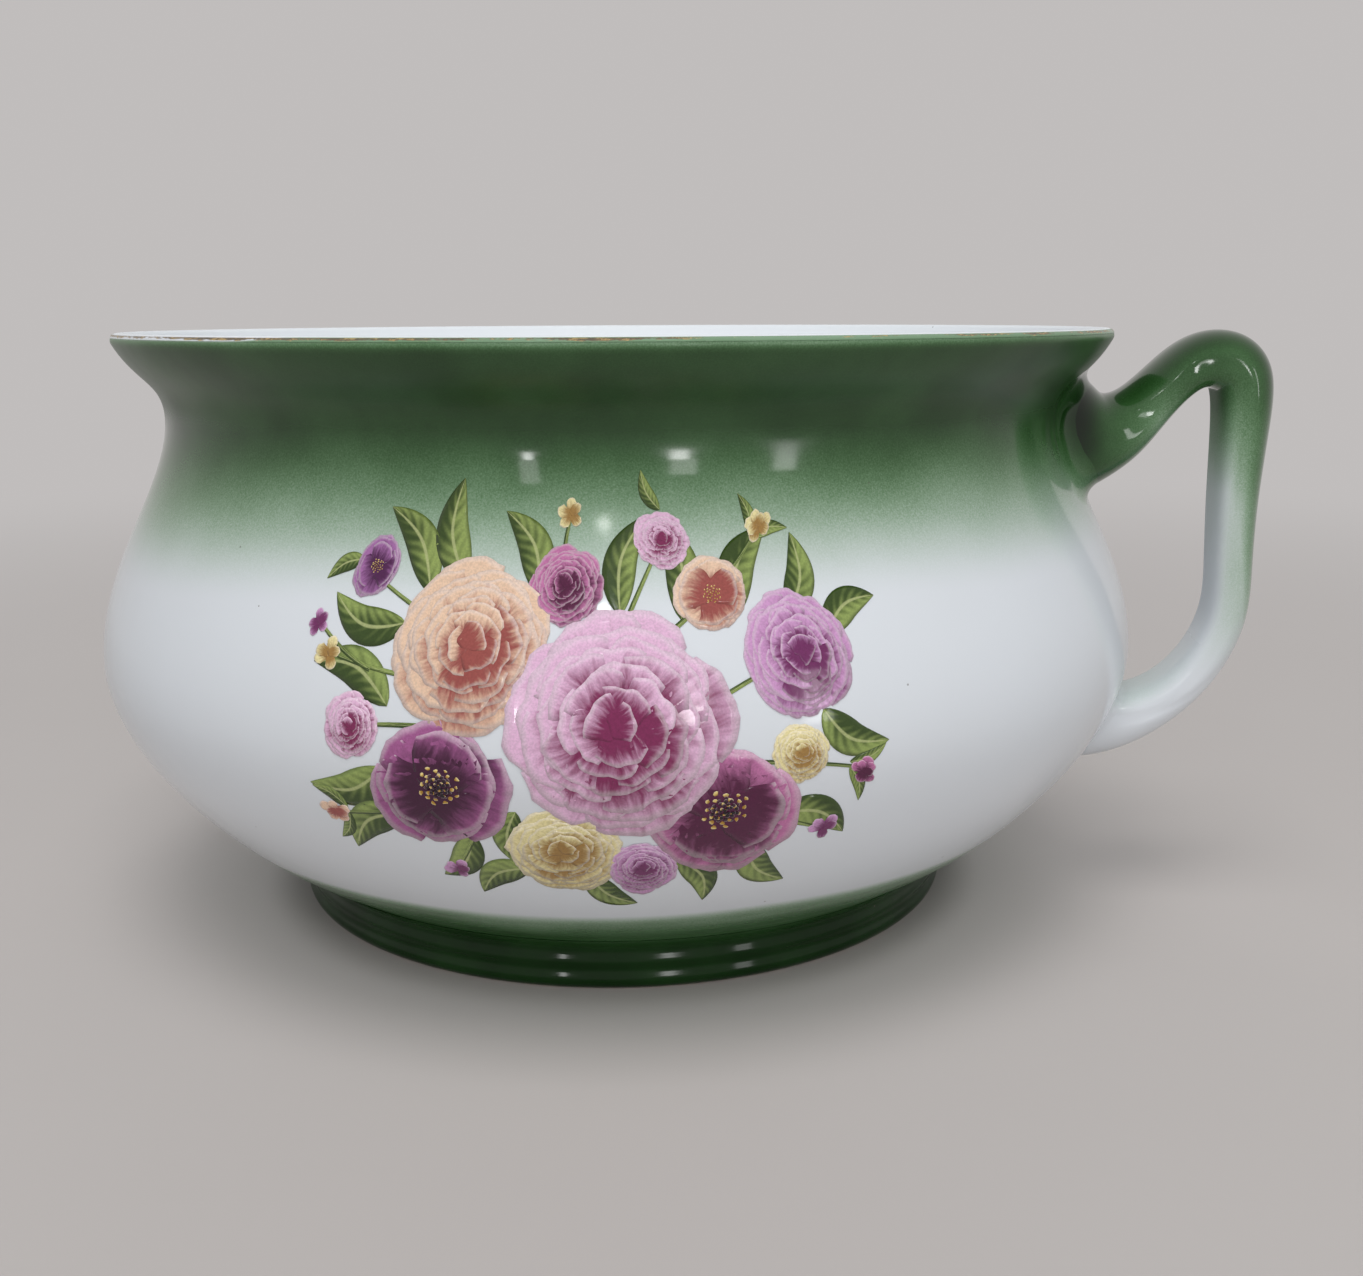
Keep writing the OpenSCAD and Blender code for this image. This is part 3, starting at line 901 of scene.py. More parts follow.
print("handle:", SPANS, "spans, grip at", round(grip_x / MM, 1), "mm")

# %% Surface of the handle
OUTER_ROUND = 2.2
INNER_ROUND = 3.6
SLOPE_STEP = 0.02
KNUCKLE = 1.0 * MM
KNUCKLE_AT = 3.7
KNUCKLE_RUN = 0.6
CREASE = 0.22 * MM
CREASE_WIDTH = 0.16
CREASE_SLANT = 0.53
CREASE_MIDDLE = (SPANS - 2.8, 0.3)
CREASE_RISE = (SPANS - 4.2, SPANS - 3.2)


def ramp(value, low, high):
    """Goes evenly from 0 to 1 as value goes from low to high."""
    return np.clip((value - low) / (high - low), 0, 1)


def soft_step(value, low, high):
    """Goes softly from 0 to 1 as value goes from low to high."""
    t = ramp(value, low, high)
    return t * t * (3 - 2 * t)


def soft_fall(value, low, high):
    """Goes softly from 1 to 0 as value goes from low to high."""
    return 1 - soft_step(value, low, high)


def strap(u, a, grow=0.0):
    """Points of the strap's surface: u spans along it, a radians round its section."""
    u, a = np.broadcast_arrays(np.asarray(u, float), np.asarray(a, float))
    s = spline(u)
    d = spline(u + SLOPE_STEP)[..., :2] - spline(u - SLOPE_STEP)[..., :2]
    d = d / np.linalg.norm(d, axis=-1, keepdims=True)
    power = np.where(np.cos(a) > 0, 2 / OUTER_ROUND, 2 / INNER_ROUND)
    knuckle = KNUCKLE * np.exp(-((u - KNUCKLE_AT) / KNUCKLE_RUN) ** 2)
    out = (s[..., 2] / 2 + grow) * np.sign(np.cos(a)) * np.abs(np.cos(a)) ** power
    side = (s[..., 3] / 2 + grow + knuckle) * np.sign(np.sin(a)) * np.abs(np.sin(a)) ** power
    crease_at = CREASE_MIDDLE[1] - CREASE_SLANT * (u - CREASE_MIDDLE[0])
    off_crease = (out / (s[..., 2] / 2) - crease_at) / CREASE_WIDTH
    crease = CREASE * (np.exp(-off_crease ** 2) * soft_step(u, *CREASE_RISE))
    side = side - crease * np.sign(side)
    return np.stack([s[..., 0] - d[..., 1] * out, side, s[..., 1] + d[..., 0] * out], axis=-1)


outer_end = strap(np.linspace(0, SPANS, 200), 0.0)[:, 0].max()
print("the handle reaches", round(float(outer_end) / MM, 1), "mm from the axis")

# %% Where the handle meets the wall
STRAP_SIDES = 96
FINE_STEPS = 100
HANDLE_SINK = 1.5 * MM
round_strap = np.arange(STRAP_SIDES) * 2 * math.pi / STRAP_SIDES
fine = np.linspace(0, SPANS, FINE_STEPS * SPANS + 1)
lattice = strap(fine[:, None], round_strap[None, :])


def wall_meeting(sink, top):
    """For each line, where it comes out of the wall at a depth of sink, at the top or low end."""
    distance = np.hypot(lattice[..., 0], lattice[..., 1])
    buried = distance - (wall_radius(lattice[..., 2]) - sink) < 0
    half = len(fine) // 2
    if top:
        return fine[half - np.argmax(buried[:half][::-1], axis=0)]
    return fine[half + np.argmax(buried[half:], axis=0) - 1]


strap_start = wall_meeting(HANDLE_SINK, True)
strap_stop = wall_meeting(HANDLE_SINK, False)
print("ends at spans", strap_start.min(), "to", strap_stop.max())

# %% Zones of green on the handle
# coats of green in each zone, the stem's on its inner and its outer face
GRIP_COATS, HAZE_COATS, INSIDE_COATS = 0.88, 0.13, 0.05
# the middle one is painted shade: extra green that darkens the hollow of the top joint
ROOT_COATS, PAINTED_JOINT_SHADE_COATS, TINT_COATS = 0.95, 0.7, 0.05
STEM_COATS = (0.36, 1.02)
# the grip's green on its inner and its outer face: lowest and full height in mm, and its thinning
GRIP_LOW, GRIP_HIGH, GRIP_THINNING = (97, 66), (126, 136), (1.5, 1.0)
INSIDE_THINNING = 1.3
# between these heights in mm
HAZE_RISE, HAZE_FALL = (53, 82), (96, 118)
INSIDE_RISE, ROOT_RISE, JOINT_SHADE_RISE = (78, 116), (86, 102), (102, 111)
# between these spans along the strap
STEM_FALL, ROOT_FALL, JOINT_SHADE_FALL = (5.5, 7.3), (1.4, 2.8), (1.1, 1.8)
TINT_RISE = (SPANS - 4.0, SPANS - 2.0)
DULL_RISE, DULL_FALL = (5.0, 6.5), (SPANS - 4.5, SPANS - 3.0)
# round the section, towards the outer face at 1
GRIP_SIDE, HAZE_SIDE, STEM_SIDE = (-0.35, 0.75), (-0.8, 0.2), (-0.6, 0.8)
# and towards the inner face at 1
INSIDE_SIDE, TINT_SIDE, DULL_SIDE = (0.35, 0.85), (0.1, 0.8), (0.0, 0.7)
print("green on the grip's outer face goes down to", GRIP_LOW[1], "mm")


# %% Green of the handle
def handle_green(u, a, height):
    """Coats of green: full on stem, crown and root, extra in the hollow of the top joint as painted
    shade, and thinning down the grip, where they go lowest on the outer side."""
    outward, z = np.cos(a), height / MM
    outer = soft_step(outward, *GRIP_SIDE)
    grip = ramp(z, mix(outer, *GRIP_LOW), mix(outer, *GRIP_HIGH)) ** mix(outer, *GRIP_THINNING)
    haze = HAZE_COATS * soft_step(z, *HAZE_RISE) * soft_fall(z, *HAZE_FALL)
    inside = INSIDE_COATS * ramp(z, *INSIDE_RISE) ** INSIDE_THINNING
    grip = (GRIP_COATS * grip + haze * soft_step(outward, *HAZE_SIDE)
            + inside * soft_step(-outward, *INSIDE_SIDE))
    stem = np.maximum(grip, mix(soft_step(outward, *STEM_SIDE), *STEM_COATS))
    grip = mix(soft_fall(u, *STEM_FALL), grip, stem)
    root = ROOT_COATS * soft_step(z, *ROOT_RISE)
    # painted shade: more green darkens the hollow where the stem meets the neck
    joint_shade = PAINTED_JOINT_SHADE_COATS * soft_step(z, *JOINT_SHADE_RISE) * soft_fall(u, *JOINT_SHADE_FALL)
    tint = TINT_COATS * soft_step(u, *TINT_RISE) * soft_step(-outward, *TINT_SIDE)
    return np.maximum(mix(soft_fall(u, *ROOT_FALL), grip, root) + joint_shade, tint)


def handle_dullness(u, a):
    """The glaze is thin and dull on the inner side of the crown and grip."""
    along_grip = soft_step(u, *DULL_RISE) * soft_fall(u, *DULL_FALL)
    return soft_step(-np.cos(a), *DULL_SIDE) * along_grip


print("coats on the crown:", round(float(handle_green(KNUCKLE_AT, 0.0, crown_z)), 2))

# %% Paint from what is stored on the mesh
INNER_DULLNESS = 0.5
GREEN_DRIFT = 0.16
GREEN_PATCHES = 60.0


def dull_inside(place):
    """The dullness that is stored on the mesh, as roughness."""
    return attribute("dull") * INNER_DULLNESS


def bowl_green(height):
    """Coats of green on the bowl at a height, as its glaze has it."""
    return ramp(height, SPRAY_END, SPRAY_TOP) ** SPRAY_THINNING


def stored_green(place):
    """The coats that are stored on the mesh, with a drifting edge."""
    coats = attribute("green")
    drift = (noise(place, GREEN_PATCHES) - 0.5) * GREEN_DRIFT
    moved = coats + drift * (coats * (1.0 - coats) * 4.0)
    return green_over_white(place, sprayed(place, calc("MAXIMUM", moved, 0.0)))


print("coats on the bowl at the handle's root:", round(float(bowl_green(TOP_JOINT_Z)), 2))


# %% A mesh from rows of points
def closed_grid(name, points, stored, finish, caps=None):
    """A mesh from rows of points that close round; the rows' ends get a cap, or join as a ring."""
    rows, sides = points.shape[:2]
    corners = [tuple(p) for p in points.reshape(-1, 3)]
    shares = {key: list(values.reshape(-1)) for key, values in stored.items()}
    faces = []
    for r in range(rows - 1 if caps else rows):
        for k in range(sides):
            a, b = r * sides, (r + 1) % rows * sides
            faces.append((a + k, a + (k + 1) % sides, b + (k + 1) % sides, b + k))
    for row, centre in (caps or {}).items():
        corners.append(tuple(centre))
        for key, values in stored.items():
            shares[key].append(float(values[row].mean()))
        a = (row % rows) * sides
        for k in range(sides):
            edge = (a + k, a + (k + 1) % sides)
            faces.append((*(edge if row else edge[::-1]), len(corners) - 1))
    mesh = bpy.data.meshes.new(name)
    mesh.from_pydata(corners, [], faces)
    for key, values in shares.items():
        mesh.attributes.new(key, "FLOAT", "POINT").data.foreach_set("value", values)
    mesh.polygons.foreach_set("use_smooth", [True] * len(mesh.polygons))
    mesh.materials.append(finish)
    piece = put_in_scene(name, mesh)
    face_outwards(piece)
    return piece


# %% Handle
STRAP_ROWS = 260
CAP_SINK = 2 * MM
share_along = np.linspace(0, 1, STRAP_ROWS)[:, None]
u_grid = mix(share_along, strap_start, strap_stop)
a_grid = np.broadcast_to(round_strap, u_grid.shape)
strap_grid = strap(u_grid, a_grid)
handle_caps = {0: (top_r - CAP_SINK, 0, TOP_JOINT_Z), -1: (low_r - CAP_SINK, 0, LOW_JOINT_Z)}
handle_finish = glaze("handle_glaze_finish", stored_green, dull=dull_inside)
handle_shares = {"green": handle_green(u_grid, a_grid, strap_grid[..., 2]),
                 "dull": handle_dullness(u_grid, a_grid)}
handle = closed_grid("handle_glazed", strap_grid, handle_shares, handle_finish, handle_caps)

# %% [markdown]
# ## The slip round the handle's ends
# A handle is stuck on with slip, and the potter smooths the squeezed-out slip into a small hollow
# fillet. A bevel on a Boolean join would be ragged here. So for every line of the strap, a curve
# goes from the strap to the wall with the meeting point as its control, and the curves are joined
# into a closed ring.

# %% Fillets of slip
FILLET_STEPS = 12
FILLET_ROOT = 1.2 * MM
FILLET_WALK = 0.005
SMALL_RISE = 0.2 * MM
SMALL_GROWTH = 1 * MM
EDGE_POWER = 1.5
# reach at the strap's faces and at its edges
TOP_REACH, LOW_REACH = mm(3.5, 7.5), mm(3.0, 3.5)


def wall_normal(point):
    """Outward direction of the bowl's outside at a point on it."""
    z = point[2]
    slope = (wall_radius(z + SMALL_RISE) - wall_radius(z - SMALL_RISE)) / (2 * SMALL_RISE)
    flat = np.array([point[0], point[1], 0]) / math.hypot(point[0], point[1])
    normal = flat - np.array([0, 0, slope])
    return normal / np.linalg.norm(normal)


def slip_fillet(name, top, above, beside, finish):
    """A ring of slip whose reach goes from above, at the strap's faces, to beside, at its edges."""
    meet = wall_meeting(0.0, top)
    t = np.linspace(0, 1, FILLET_STEPS)[:, None]
    rows, greens = [], []
    for u, a in zip(meet, round_strap):
        reach = mix(abs(math.sin(a)) ** EDGE_POWER, above, beside)
        contact = strap(u, a)
        normal = wall_normal(contact)
        outward = strap(u, a, SMALL_GROWTH) - contact
        outward = outward - outward.dot(normal) * normal
        on_wall = contact + reach * outward / np.linalg.norm(outward)
        on_wall[:2] *= (wall_radius(on_wall[2]) - FILLET_SINK) / math.hypot(*on_wall[:2])
        while np.linalg.norm(strap(u, a) - contact) < reach:
            u += FILLET_WALK if top else -FILLET_WALK
        on_strap = strap(u, a, -FILLET_SINK)
        curve = (1 - t) ** 2 * on_strap + 2 * t * (1 - t) * contact + t ** 2 * on_wall
        sunk = FILLET_ROOT * normal
        rows.append(np.vstack([curve, on_wall - sunk, contact - sunk]))
        shares = mix(t[:, 0], handle_green(u, a, on_strap[2]), bowl_green(on_wall[2]))
        greens.append(np.concatenate([shares, shares[-1:], shares[-1:]]))
    ring = closed_grid(name, np.array(rows), {"green": np.array(greens)}, finish)
    ring.data.set_sharp_from_angle(angle=SHARP)
    return ring


top_slip = slip_fillet(
    "handle_top_slip_glazed", True, *TOP_REACH, glaze("top_slip_finish", stored_green))
bottom_slip = slip_fillet(
    "handle_bottom_slip_glazed", False, *LOW_REACH, glaze("bottom_slip_finish", stored_green))

# %% [markdown]
# ## The printed flowers
# The spray was printed on thin film, laid on the belly and fired into the glaze. It shows full
# round garden blooms, open ones with a dark eye, buds and leaves. A painted picture would need an
# image file, so every petal is a thin leaf of film, and its colour comes from its own base, tip and
# sides. A Geometry Nodes tree sets the petals round each bloom by the golden angle, from the tight
# heart to the open edge.

# %% Geometry Nodes: one petal
PETAL_POINTS = (9, 13)
PETAL_ROOT = 0.16
PETAL_FLARE = 0.6
TIP_ROUND = -0.34
TIP_WAVE = -0.025
TIP_WAVES = 5.0
bloom, given = geometry_tree(
    "printed_bloom", Int=["Petals", "Seed"], Vector=["Place"], Color=["Deep colour", "Pale colour"],
    Float=["Radius", "Turn", "Foreshorten", "Heart off centre", "Spread of the roots",
           "Inner petal", "Outer petal", "Petal width", "Swirl"], Material=["Finish"])

# The stalk end is at the origin, the round tip at 1 on X.
here = geo("InputPosition")
x, y, _ = split(here)
up_petal, across = x + 0.5, y * 2.0
half = PETAL_ROOT + up_petal ** PETAL_FLARE * given["Petal width"]
reach = 1.0 + (across * across * TIP_ROUND + calc("COSINE", across * TIP_WAVES) * TIP_WAVE)
marked = store(grid(*PETAL_POINTS), "petal", vector(across, up_petal), "FLOAT_VECTOR")
outline = vector(up_petal * reach, across * half)
petal = geo("SetPosition", {"Geometry": marked, "Position": outline})
print("a petal has", PETAL_POINTS[0] * PETAL_POINTS[1], "points")

# %% Geometry Nodes: the petals round a bloom
GOLDEN_ANGLE = math.pi * (3 - math.sqrt(5))
ANGLE_CHANCE = (-0.16, 0.16)
LENGTH_CHANCE = (0.88, 1.04)
LENGTH_DRAW, TONE_DRAW = 7, 3
HEART_TIGHT = 0.13
SWIRL_FADE = 1.2
LAYER = 0.003 * MM
SUN_SIDE = math.radians(125)


def chance(low, high, seed):
    """A random number for each point, fixed by the seed."""
    dice = node("FunctionNodeRandomValue", {2: low, 3: high, "Seed": seed}, data_type="FLOAT")
    return Wire(dice.outputs[1])


# The rank of a petal goes from 0 at the heart to 1 at the edge.
index = geo("InputIndex")
rank = calc("SQRT", (index + 0.5) / given["Petals"])
angle = index * GOLDEN_ANGLE + chance(*ANGLE_CHANCE, given["Seed"])
root_far = given["Radius"] * (rank * given["Spread of the roots"] - HEART_TIGHT)
heart_shift = (1.0 - rank) * (given["Heart off centre"] * given["Radius"])
layer = (given["Petals"] - index) * LAYER
spots = geo("Points", {"Count": given["Petals"], "Position": vector(
    root_far * calc("COSINE", angle), heart_shift + root_far * calc("SINE", angle), layer)})
growth = mix(rank, given["Inner petal"], given["Outer petal"])
length = given["Radius"] * (growth * chance(*LENGTH_CHANCE, given["Seed"] + LENGTH_DRAW))
facing = angle + given["Swirl"] * (SWIRL_FADE - rank)
set_out = geo("InstanceOnPoints", {
    "Points": spots, "Instance": petal, "Rotation": vector(z=facing),
    "Scale": vector(length, length, 1.0)})
sunny = calc("COSINE", facing + given["Turn"] - SUN_SIDE)
tone = chance(0.0, 1.0, given["Seed"] + TONE_DRAW)
for label, value in (("rank", rank), ("sunny", sunny), ("tone", tone)):
    set_out = store(set_out, label, value, domain="INSTANCE")
real = geo("RealizeInstances", {"Geometry": set_out})
print("petals turn by", round(math.degrees(GOLDEN_ANGLE), 1), "degrees")

# %% Geometry Nodes: sway, tip and place the bloom
SWAY = 0.16
SWAY_SCALE = 4.5
SWAY_CHANGE = 30.0
# No two petals are alike: a slow noise, another for each petal, sways its outline.
own = geo("InputNamedAttribute", {"Name": "tone"}, "Attribute", data_type="FLOAT")
sway_inputs = {"Vector": here, "W": own * SWAY_CHANGE, "Detail": 1.0,
               "Scale": SWAY_SCALE / given["Radius"]}
sway = shade("TexNoise", sway_inputs, "Color", noise_dimensions="4D")
strength = given["Radius"] * SWAY
centred = on_vectors("SUBTRACT", sway, (0.5, 0.5, 0.5))
offset = on_vectors("MULTIPLY", centred, vector(strength, strength))
swayed = geo("SetPosition", {"Geometry": real, "Offset": offset})
tipped = geo("Transform", {"Geometry": swayed, "Scale": vector(1.0, given["Foreshorten"], 1.0)})
placed = geo("Transform", {"Geometry": tipped, "Translation": given["Place"],
                           "Rotation": vector(z=given["Turn"])})
for label in ("Deep colour", "Pale colour"):
    placed = store(placed, label.split()[0].lower(), given[label], "FLOAT_COLOR")
end_tree(placed, given["Finish"])
print("bloom tree:", len(bloom.nodes), "nodes")

# %% [markdown]
# ## Leaves and stems
# Leaves and stems are ribbons along a curve: wide in the middle for a leaf, thin and even for a
# stem. The second tree sweeps a flat line along each curve and stores how far along and across the
# ribbon a point lies, so that a midrib and side veins can follow it.

# %% Geometry Nodes: a ribbon along a curve
RIBBON_STEPS = 22
RIBBON_POINTS = 7
THINNEST = 0.05 * MM
LEAF_POWERS = (0.8, 0.85)
STALK_THINS = 0.35
ribbon, given = geometry_tree(
    "printed_ribbon", Float=["Leaf shape"], Int=["Steps"], Material=["Finish"])
even = geo("ResampleCurve", {"Curve": given["Geometry"], "Count": given["Steps"]})
level = geo("SetCurveNormal", {"Curve": even}, mode="Z_UP")
way = geo("SplineParameter", out="Factor")
swell = calc("MAXIMUM", calc("SINE", way ** LEAF_POWERS[0] * math.pi), 0.0) ** LEAF_POWERS[1]
stalk = 1.0 - way * STALK_THINS
shape = swell * given["Leaf shape"] + stalk * (1.0 - given["Leaf shape"])
width = calc("MAXIMUM", shape * geo("InputRadius"), THINNEST)
bar = geo("CurvePrimitiveLine", {"Start": (-1, 0, 0), "End": (1, 0, 0)})
bar_points = geo("ResampleCurve", {"Curve": bar, "Count": RIBBON_POINTS})
bar_marked = store(bar_points, "across", split(geo("InputPosition"))[0])
swept = geo("CurveToMesh", {
    "Curve": store(level, "along", way), "Profile Curve": bar_marked, "Scale": width})
end_tree(swept, given["Finish"])
print("ribbon tree:", len(ribbon.nodes), "nodes")

# %% [markdown]
# ## Laying the film on the belly
# The spray is drawn flat, with X to the right and Y up, and then laid on the pot. The third tree
# turns X into an angle round the axis and Y into a height, and sends a ray from outside to the
# wall. The point lands where the ray hits, and its small lift keeps the layers of film in order.

# %% Geometry Nodes: lay a flat film on the bowl
SPRAY_ANGLE = math.radians(-80)
SPRAY_Z = BELLY_Z + 4 * MM
FILM = 0.05 * MM
FAR = 2 * BELLY_R
lay, given = geometry_tree("film_on_belly", Object=["Bowl"], Float=["Lift"])
x, y, z = split(geo("InputPosition"))
azimuth = x / BELLY_R + SPRAY_ANGLE
cosine, sine = calc("COSINE", azimuth), calc("SINE", azimuth)
wall = geo("ObjectInfo", {"Object": given["Bowl"]}, "Geometry")
ray = node("GeometryNodeRaycast", {
    "Target Geometry": wall, "Source Position": vector(cosine * FAR, sine * FAR, y + SPRAY_Z),
    "Ray Direction": vector(cosine * -1.0, sine * -1.0), "Ray Length": FAR}).outputs
lifted = on_vectors("SCALE", Wire(ray["Hit Normal"]), z + given["Lift"])
landed = on_vectors("ADD", Wire(ray["Hit Position"]), lifted)
laid = geo("SetPosition", {"Geometry": given["Geometry"], "Position": landed})
node("NodeGroupOutput", {"Geometry": geo("SetShadeSmooth", {"Geometry": laid})})


def lay_film(maker, name, lift):
    """Lays a flat maker on the belly, gives it the film's thickness and makes it a plain mesh."""
    use_tree(maker, lay, {"Bowl": bowl, "Lift": lift})
    film = maker.modifiers.new("film", "SOLIDIFY")
    film.thickness = FILM
    film.offset = -1
    piece = plain_mesh(maker, name)
    print(name, len(piece.data.polygons), "faces")
    return piece


print("lay tree:", len(lay.nodes), "nodes")

# %% [markdown]
# ## Colours of the print
# A petal is deep in colour at its base, where others shade it, and pale at its tip, with fine
# streaks along it and a darker fold at its sides. Petals on the sunny side of a bloom are lighter,
# which makes it look round. A leaf is lighter on one side of its midrib. All lie under the same
# clear glaze as the bowl.

# %% Shared finish of the print
STIPPLE_DOTS = (2600.0, 1.0)  # a noise: patches in a metre, detail
STIPPLE = (0.3, 0.7, 0.90, 1.07)


def print_finish(name, paint):
    """A printed colour, finely stippled, under the glaze."""
    finish, place = new_material(name)
    stipple = smooth_rise(noise(place, *STIPPLE_DOTS), *STIPPLE)
    glossy(on_vectors("SCALE", paint(place), stipple), uneven(place, GLAZE_ROUGHNESS))
    return finish


print("a print has", STIPPLE_DOTS[0], "dots in a metre")

# %% Finish of the petals
PETAL_RIM = (0.88, 0.80, 0.82, 1)
# streaks: how fine they are across and along a petal, how they differ from petal to petal
STREAK_ACROSS, STREAK_ALONG, STREAK_CHANGE = 4.0, 1.1, 40.0
STREAK_GRAIN = (1.6, 3.0)
STREAK_STRENGTH = 0.8
# what else lightens or darkens a petal: the middle of each value, and its strength
LIGHTER = {"tone": (0.5, 0.35), "rank": (0.75, 0.45), "sunny": (0.0, 0.20)}
PETAL_FADE = (0.30, 1.02)
RIM_FADE = (0.86, 0.99)
RIM_STRENGTH = 0.35
FOLD = (0.60, 1.0)
FOLD_ENDS = (0.96, 0.62, 0.0, 0.6)


def petal_paint(place):
    """Deep at the base, pale at the tip, with streaks, a light rim and dark sides."""
    x, y, _ = split(attribute("petal", "Vector"))
    deep, pale = (attribute(name, "Color") for name in ("deep", "pale"))
    own = vector(x * STREAK_ACROSS, y * STREAK_ALONG, attribute("tone") * STREAK_CHANGE)
    light = y + (noise(own, *STREAK_GRAIN) - 0.5) * STREAK_STRENGTH
    for name, (middle, strength) in LIGHTER.items():
        light = light + (attribute(name) - middle) * strength
    colour = blend_colour(smooth_rise(light, *PETAL_FADE), deep, pale)
    colour = blend_colour(smooth_rise(y, *RIM_FADE) * RIM_STRENGTH, colour, PETAL_RIM)
    side = smooth_rise(calc("ABSOLUTE", x), *FOLD)
    return blend_colour(side * smooth_rise(y, *FOLD_ENDS), colour, deep)


petal_finish = print_finish("petal_print", petal_paint)
print(petal_finish.name, len(petal_finish.node_tree.nodes), "nodes")

# %% Finish of the leaves
LEAF_DARK = (0.035, 0.065, 0.010, 1)
LEAF_LIGHT = (0.28, 0.36, 0.10, 1)
LEAF_RIB = (0.46, 0.50, 0.22, 1)
VEINS_ALONG, VEINS_SLANT, VEIN_STRENGTH = 46.0, -9.0, 0.10
SIDE_LIGHT = 0.30
LEAF_MOTTLE = (110.0, 3.0)  # a noise: patches in a metre, detail
LEAF_FADE = (0.25, 0.85)
LEAF_EDGE = (0.72, 1.0)
EDGE_STRENGTH = 0.6
MIDRIB = (0.04, 0.13, 0.8, 0.0)


def leaf_paint(place):
    """Lighter on one side, with veins, a dark edge and a pale midrib."""
    across, way = attribute("across"), attribute("along")
    off_rib = calc("ABSOLUTE", across)
    veins = calc("SINE", way * VEINS_ALONG + off_rib * VEINS_SLANT) * VEIN_STRENGTH
    light = across * SIDE_LIGHT + noise(place, *LEAF_MOTTLE) + veins
    colour = blend_colour(smooth_rise(light, *LEAF_FADE), LEAF_DARK, LEAF_LIGHT)
    colour = blend_colour(smooth_rise(off_rib, *LEAF_EDGE) * EDGE_STRENGTH, colour, LEAF_DARK)
    return blend_colour(smooth_rise(off_rib, *MIDRIB), colour, LEAF_RIB)


leaf_finish = print_finish("leaf_print", leaf_paint)
print(leaf_finish.name, len(leaf_finish.node_tree.nodes), "nodes")

# %% Kinds of bloom and their colours
KIND_INPUTS = ("Petals", "Spread of the roots", "Inner petal", "Outer petal", "Petal width",
               "Swirl")
KINDS = {
    "full": (46, 0.52, 0.24, 0.64, 0.54, 0.25),
    "open": (11, 0.16, 0.80, 1.02, 0.48, 0.10),
    "eye": (34, 0.78, 0.16, 0.26, 0.30, 0.0),
    "stamens": (30, 0.84, 0.10, 0.15, 0.45, 0.0),
    "bud": (7, 0.18, 0.62, 0.85, 0.24, 0.15),
    "star": (5, 0.20, 0.90, 1.00, 0.22, 0.0),
}
# deep and pale colour
PINK = ((0.20, 0.018, 0.085, 1), (0.76, 0.47, 0.66, 1))
APRICOT = ((0.32, 0.075, 0.065, 1), (0.80, 0.56, 0.40, 1))
PLUM = ((0.085, 0.008, 0.045, 1), (0.52, 0.17, 0.36, 1))
DEEP_PLUM = ((0.050, 0.005, 0.032, 1), (0.36, 0.10, 0.27, 1))
YELLOW = ((0.34, 0.19, 0.050, 1), (0.80, 0.70, 0.36, 1))
MAUVE = ((0.16, 0.022, 0.11, 1), (0.60, 0.31, 0.56, 1))
VIOLET = ((0.075, 0.010, 0.070, 1), (0.36, 0.14, 0.36, 1))
EYE = ((0.010, 0.004, 0.008, 1), (0.09, 0.03, 0.05, 1))
POLLEN = ((0.42, 0.22, 0.03, 1), (0.80, 0.62, 0.22, 1))

